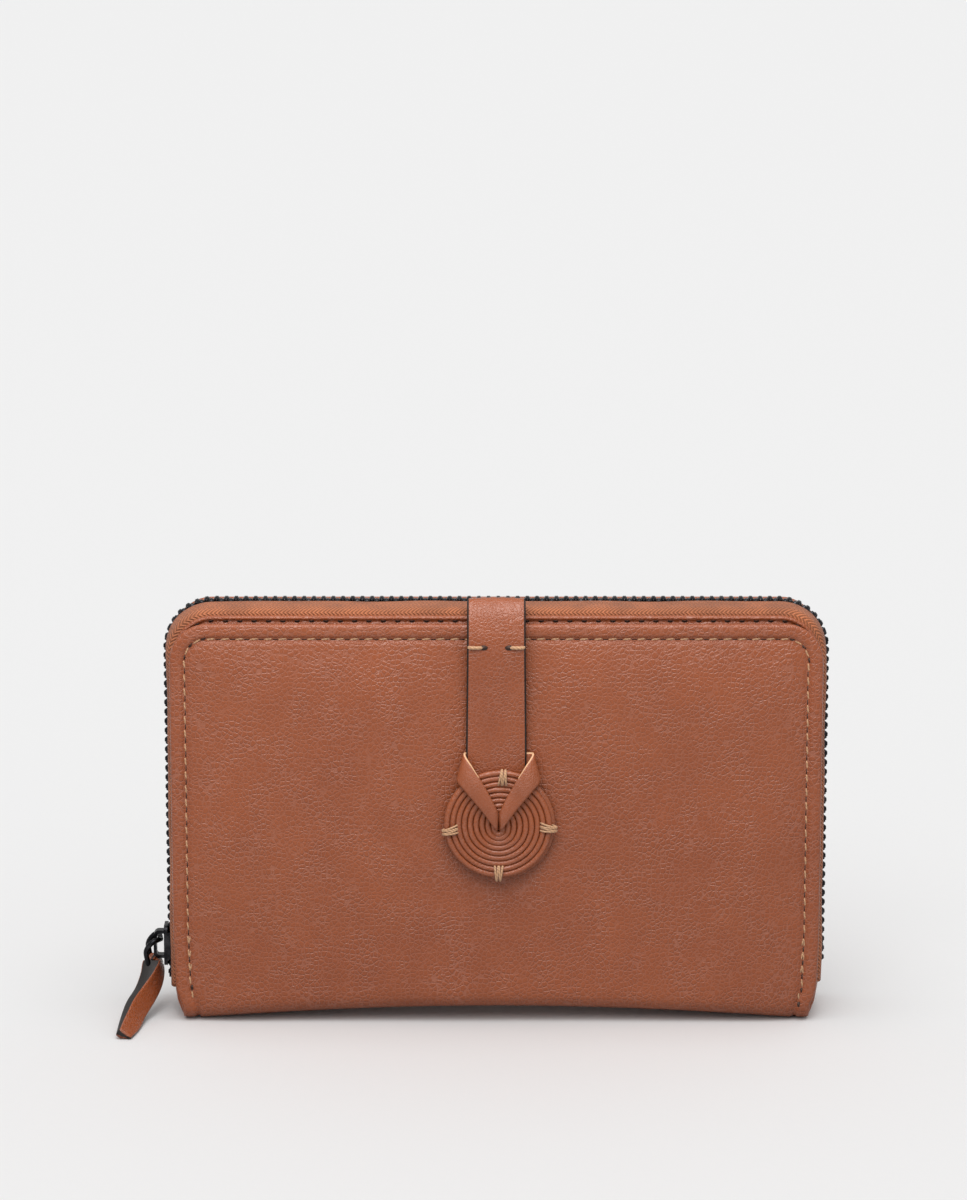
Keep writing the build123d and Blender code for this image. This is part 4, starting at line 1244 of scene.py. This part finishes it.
def make_pull():
    """The leather pull: a strip that folds round the bar, then twists and narrows down
    to its tip. Its middle line, half width and width direction are splines."""
    bar = np.array([BAIL_LOW[0] + 0.7 * MM, (BAIL_LOW[1] + BAIL_HIGH[1]) / 2,
                    BAIL_LOW[2] + 0.7 * MM])
    near = spline(np.array([(-99.9, -3.2, 15.2), (-100.1, -3.4, 13.6), (-101.3, -5.6, 11.2),
                            (-103.5, -10.0, 8.6), (-105.7, -16.0, 6.4), (-107.2, -24.0, 3.6),
                            (-108.0, -32.0, 1.9)]) * MM, 72)
    near[:, 0] += bar[0] + 100.65 * MM
    wide = unit(spline(np.array([(0.05, 1.0, 0.0), (0.10, 1.0, -0.05), (0.35, 0.80, -0.45),
                                 (0.48, 0.40, -0.75), (0.52, 0.29, -0.80), (0.60, 0.30, -0.60),
                                 (0.66, 0.30, -0.40)]), 72))
    half = spline(np.array([(3.6, 0), (3.6, 0), (3.5, 0), (3.4, 0), (3.4, 0), (3.0, 0),
                            (2.1, 0)]) * MM, 72)[:, 0]
    line = near + wide * half[:, None]
    ahead = unit(np.gradient(line, axis=0))
    wide = unit(wide - ahead * np.sum(wide * ahead, 1, keepdims=True))
    over = unit(np.cross(wide, ahead))
    over *= np.sign(over[:, 2:3] + 1e-9)
    t = spline(np.array([(0.6, 0), (2.5, 0), (2.3, 0), (1.7, 0), (1.6, 0), (1.5, 0), (1.2, 0)])
               * MM, 72)[:, :1]
    d = np.array([0, 0.25, 0.6, 1.0, 1.4]) * MM
    flat = np.linspace(-1, 1, 9)
    x = np.concatenate([-half[:, None] + d, flat[None] * (half[:, None] - d[-1]),
                        half[:, None] - d[::-1]], 1)
    depth = np.minimum(half[:, None] - np.abs(x), 0.5 * MM)
    drop = 0.5 * MM - np.sqrt(np.maximum((0.5 * MM) ** 2 - (0.5 * MM - depth) ** 2, 0))
    thick = t - drop
    top = line[:, None] + wide[:, None] * x[..., None] + over[:, None] * thick[..., None]
    low = line[:, None] + wide[:, None] * x[..., None] - over[:, None] * thick[..., None]
    rings = np.concatenate([top, low[:, ::-1]], 1)
    rings[..., 2] = np.maximum(rings[..., 2], 0.15 * MM)
    mark = np.where(depth < 0.2 * MM, 1.0, 0.0)
    mark = np.concatenate([mark, mark[:, ::-1]], 1)
    pull = paint_with(loft("pull_leather", rings, attributes=[("edge", mark)]),
                      strap_material())
    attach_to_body(pull, "pull_tab")
    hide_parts("pull_tab", "pull_tab_loop")


def make_corner(name, side, top):
    """The leather that closes a side under the zip's end: a sheet across the wallet's
    depth, bowed in between front and back, which draws in towards the base."""
    y = np.linspace(FRONT_Y + 1.3 * MM, BACK_Y - 1.3 * MM, 41)
    z = np.linspace(1.2 * MM, top, 26)
    t = (y - y[0]) / (y[-1] - y[0])
    lift = smooth_step(0, 15 * MM, z)[:, None]
    edge = tapered(0, HALF_W - 0.4 * MM)(z)[:, None]
    out = edge + (0.4 + 2.1 * lift) * MM * np.sqrt(np.maximum(np.sin(np.pi * t), 0))[None]
    hem = -0.35 * MM * np.exp(-((z - top + 1.6 * MM) / (0.7 * MM)) ** 2)
    grid = np.stack(np.broadcast_arrays(side * (out + hem[:, None]), y[None], z[:, None]), -1)
    piece = paint_with(thick_sheet(name, grid, 1.3 * MM), leather_material())
    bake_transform(piece)


def make_bellows(name, side, node):
    """A side bellows: a thin hide folded once inwards, from the back's board to the
    front's, its fold rounded by a spline."""
    low, high = corners(node)
    attach, fold = (high[0], low[0]) if side > 0 else (low[0], high[0])
    mid = (low[1] + high[1]) / 2
    t = 0.3 * MM
    knots = np.array([(attach - side * t, high[1]), (attach - side * t, high[1] - 1.2 * MM),
                      ((attach + fold) / 2, (high[1] + mid) / 2),
                      (fold + side * 1.2 * t, mid + 0.5 * MM),
                      (fold + side * 1.2 * t, mid - 0.5 * MM),
                      ((attach + fold) / 2, (low[1] + mid) / 2),
                      (attach - side * t, low[1] + 1.2 * MM), (attach - side * t, low[1])])
    way = spline(knots, 41)
    z = np.linspace(low[2] + 0.2 * MM, high[2], 48)
    grid = np.stack(np.broadcast_arrays(way[None, :, 0], way[None, :, 1], z[:, None]), -1).copy()
    grid[..., 0] += side * 0.25 * MM * np.sin(z / 0.011)[:, None] * np.sin(
        np.pi * (way[None, :, 1] - low[1]) / (high[1] - low[1]))
    piece = paint_with(thick_sheet(name, settle(grid), 0.6 * MM), slot_material())
    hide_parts(node)
    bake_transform(piece)


# ------------------------------------------------------------------- operators
class WALLET_OT_hides(bpy.types.Operator):
    """Makes the pocket, back and second lip leathers with their seams"""
    bl_idname = "wallet.hides"
    bl_label = "Leather hides"

    def execute(self, context):
        inset = context.scene.wallet_sewing.inset
        hide, side = pocket_hide()
        front = paint_with(hide.build("front_leather"), leather_material())
        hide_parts("front_pocket_panel", "front_fold")
        sew(hide, "front_seam", "front_cover", inset, side + 1.0 * MM)
        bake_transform(front)
        hide, side = back_hide()
        back = paint_with(hide.build("back_leather"), leather_material())
        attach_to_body(back, "back_cover")
        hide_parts("back_panel", "spine", "spine_lining")
        sew(hide, "back_seam", "back_cover", inset, side + 1.0 * MM)
        hide = lip_hide()
        lip = paint_with(hide.build("lip_leather"), leather_material())
        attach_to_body(lip, "front_cover")
        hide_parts("front_cover_panel")
        make_bellows("bellows_right", 1, "gusset_right")
        make_bellows("bellows_left", -1, "gusset_left")
        make_corner("corner_right", 1, 13.2 * MM)
        make_corner("corner_left", -1, 10.6 * MM)
        sew(hide, "lip_seam", "front_cover", 1.5 * MM, hide.start + 40 * MM, sunk=True)
        return {"FINISHED"}


class WALLET_OT_zip(bpy.types.Operator):
    """Makes the zip's tapes and its two rows of teeth"""
    bl_idname = "wallet.zip"
    bl_label = "Zip tapes and teeth"

    def execute(self, context):
        make_tape("front_tape", -1, "front_cover", "front_zip_tape")
        make_tape("back_tape", 1, "back_cover", "back_zip_tape")
        make_teeth("front_teeth", -1, "front_cover", "front_zip_teeth", 0.5)
        make_teeth("back_teeth", 1, "back_cover", "back_zip_teeth", 1.0)
        return {"FINISHED"}


class WALLET_OT_strap(bpy.types.Operator):
    """Makes the strap and its tack stitches"""
    bl_idname = "wallet.strap"
    bl_label = "Strap"

    def execute(self, context):
        make_strap()
        make_tacks()
        return {"FINISHED"}


class WALLET_OT_disc(bpy.types.Operator):
    """Makes the coiled disc, its ribbon and its bindings"""
    bl_idname = "wallet.disc"
    bl_label = "Coiled disc"

    def execute(self, context):
        make_disc()
        make_ribbon()
        make_bindings()
        return {"FINISHED"}


class WALLET_OT_pull(bpy.types.Operator):
    """Makes the bail and the leather pull"""
    bl_idname = "wallet.pull"
    bl_label = "Bail and pull"

    def execute(self, context):
        make_bail()
        make_pull()
        return {"FINISHED"}


class WALLET_OT_finishes(bpy.types.Operator):
    """Gives every CAD node that stays its own material"""
    bl_idname = "wallet.finishes"
    bl_label = "Finishes of the inside"

    def execute(self, context):
        finish = {"leather": leather_material, "strap_leather": strap_material,
                  "smooth_leather": smooth_material, "slot_leather": slot_material,
                  "thread": thread_material, "lining": lining_material,
                  "board": board_material, "zip_tape": cloth_tape_material,
                  "black_metal": black_metal, "snap_metal": snap_metal}
        for part in frame["record"]["subparts"]:
            cad = bpy.data.objects.get(part["node"])
            cad.data.materials.clear()
            cad.data.materials.append(finish[part["material_slot"]]())
        return {"FINISHED"}


def cloth_tape_material():
    """Tape of the coin pocket's zip: rows of yarn across and along."""
    material = bpy.data.materials.get("Coin zip cloth")
    if material:
        return material
    colour = tuple(bpy.context.scene.wallet_zip.tape)
    material, tree, sockets = new_material("Coin zip cloth", Sheen_Weight=0.2)
    place = add(tree, "TexCoord").outputs["Object"]
    split = add(tree, "SeparateXYZ", {0: place}).outputs
    slope = calc(tree, "ADD", split[0], split[1])
    rows = calc(tree, "SINE", calc(tree, "MULTIPLY", slope, 2 * math.pi / (0.55 * MM)))
    rows = calc(tree, "MULTIPLY_ADD", rows, 0.5, 0.5)
    # Darker in the valleys between the rows: painted shade in the weave.
    tree.links.new(tint(tree, rows, tuple(0.55 * c for c in colour), colour),
                   sockets["Base Color"])
    tree.links.new(ramp(tree, rows, 0, 1, 0.85, 0.7), sockets["Roughness"])
    emboss(tree, sockets, rows, 0.08 * MM)
    return material


class WALLET_OT_stage(bpy.types.Operator):
    """Sets the pale floor and backdrop, the soft lights and the camera"""
    bl_idname = "wallet.stage"
    bl_label = "Stage"

    def execute(self, context):
        settings = context.scene.wallet_stage
        scene = context.scene
        scene.view_settings.view_transform = "Standard"
        low = CAD_BOX[0][2] - 0.05 * MM
        span = np.linspace(-12, 12, 25)
        sweep = np.stack(np.broadcast_arrays(span[None], span[:, None], low), -1)
        floor = make_mesh("sweep", sweep, [grid_faces(25, 25, False, False)])
        paint_with(floor, floor_material())
        world = bpy.data.worlds.new("studio") if scene.world is None else scene.world
        scene.world = world
        world.use_nodes = True
        backing = world.node_tree.nodes.get("Background")
        backing.inputs["Color"].default_value = (1.0, 1.0, 1.0, 1.0)
        backing.inputs["Strength"].default_value = 0.58
        for name, bearing, height, spread, power in (
                ("key", -14, 44, 30, 0.35), ("top", 10, 80, 50, 1.25)):
            light = bpy.data.lights.new(name, "SUN")
            light.angle, light.energy = math.radians(spread), power
            lamp = bpy.data.objects.new(name, light)
            scene.collection.objects.link(lamp)
            lamp.rotation_euler = (math.radians(90 - height), 0, math.radians(bearing))
        lit = bpy.data.collections.new("lit by the softbox")
        for piece in [o for o in scene.objects if o.type == "MESH" and o != floor]:
            lit.objects.link(piece)
        box = bpy.data.lights.new("softbox", "AREA")
        box.shape, box.size, box.size_y, box.energy = "RECTANGLE", 0.50, 0.26, 2.3
        lamp = bpy.data.objects.new("softbox", box)
        scene.collection.objects.link(lamp)
        lamp.location = (-0.05, -0.26, 0.44)
        lamp.rotation_euler = (math.radians(38), 0, 0)
        lamp.light_linking.receiver_collection = lit
        camera = bpy.data.cameras.new("camera")
        camera.sensor_fit, camera.sensor_height = "VERTICAL", 36
        camera.lens = settings.lens
        camera.clip_start, camera.clip_end = 0.02, 50
        holder = bpy.data.objects.new("camera", camera)
        scene.collection.objects.link(holder)
        away = np.array([0, -math.cos(settings.elevation), math.sin(settings.elevation)])
        aim = np.array([-3.67 * MM, 0, 122.2 * MM])
        holder.location = aim + away * settings.distance
        holder.rotation_euler = (math.pi / 2 - settings.elevation, 0, 0)
        scene.camera = holder
        return {"FINISHED"}


def floor_material():
    """Matt pale paper with a trace of tooth."""
    material = bpy.data.materials.get("Pale paper")
    if material:
        return material
    material, tree, sockets = new_material("Pale paper", Specular_IOR_Level=0.1)
    place = add(tree, "TexCoord").outputs["Object"]
    speck = noise(tree, place, 400.0)
    tree.links.new(tint(tree, speck, (0.835, 0.835, 0.835), (0.845, 0.845, 0.845)),
                   sockets["Base Color"])
    tree.links.new(ramp(tree, speck, 0, 1, 0.9, 1.0), sockets["Roughness"])
    return material


class WALLET_PT_panel(bpy.types.Panel):
    """Lists the wallet's operators and sizes"""
    bl_label = "Wallet"
    bl_idname = "WALLET_PT_panel"
    bl_space_type = "VIEW_3D"
    bl_region_type = "UI"
    bl_category = "Wallet"

    def draw(self, context):
        layout = self.layout
        for operator in STEPS:
            layout.operator(operator.bl_idname)
        for key in SETTINGS:
            box = layout.box()
            group = getattr(context.scene, key)
            for name in group.__annotations__:
                box.prop(group, name)


STEPS = (WALLET_OT_finishes, WALLET_OT_hides, WALLET_OT_zip, WALLET_OT_strap,
         WALLET_OT_disc, WALLET_OT_pull, WALLET_OT_stage)
SETTINGS = {"wallet_leather": LeatherSettings, "wallet_sewing": SewingSettings,
            "wallet_zip": ZipSettings, "wallet_disc": DiscSettings,
            "wallet_stage": StageSettings}


def register():
    """Registers the classes and hangs the settings on the scene."""
    for key, group in SETTINGS.items():
        bpy.utils.register_class(group)
        setattr(bpy.types.Scene, key, bpy.props.PointerProperty(type=group))
    for step in STEPS + (WALLET_PT_panel,):
        bpy.utils.register_class(step)


def unregister():
    """Takes away what register added."""
    for step in (WALLET_PT_panel,) + STEPS[::-1]:
        bpy.utils.unregister_class(step)
    for key, group in SETTINGS.items():
        delattr(bpy.types.Scene, key)
        bpy.utils.unregister_class(group)


def main():
    register()
    bpy.ops.wallet.finishes()
    bpy.ops.wallet.hides()
    bpy.ops.wallet.zip()
    bpy.ops.wallet.strap()
    bpy.ops.wallet.disc()
    bpy.ops.wallet.pull()
    bpy.ops.wallet.stage()


if __name__ == "__main__":
    main()
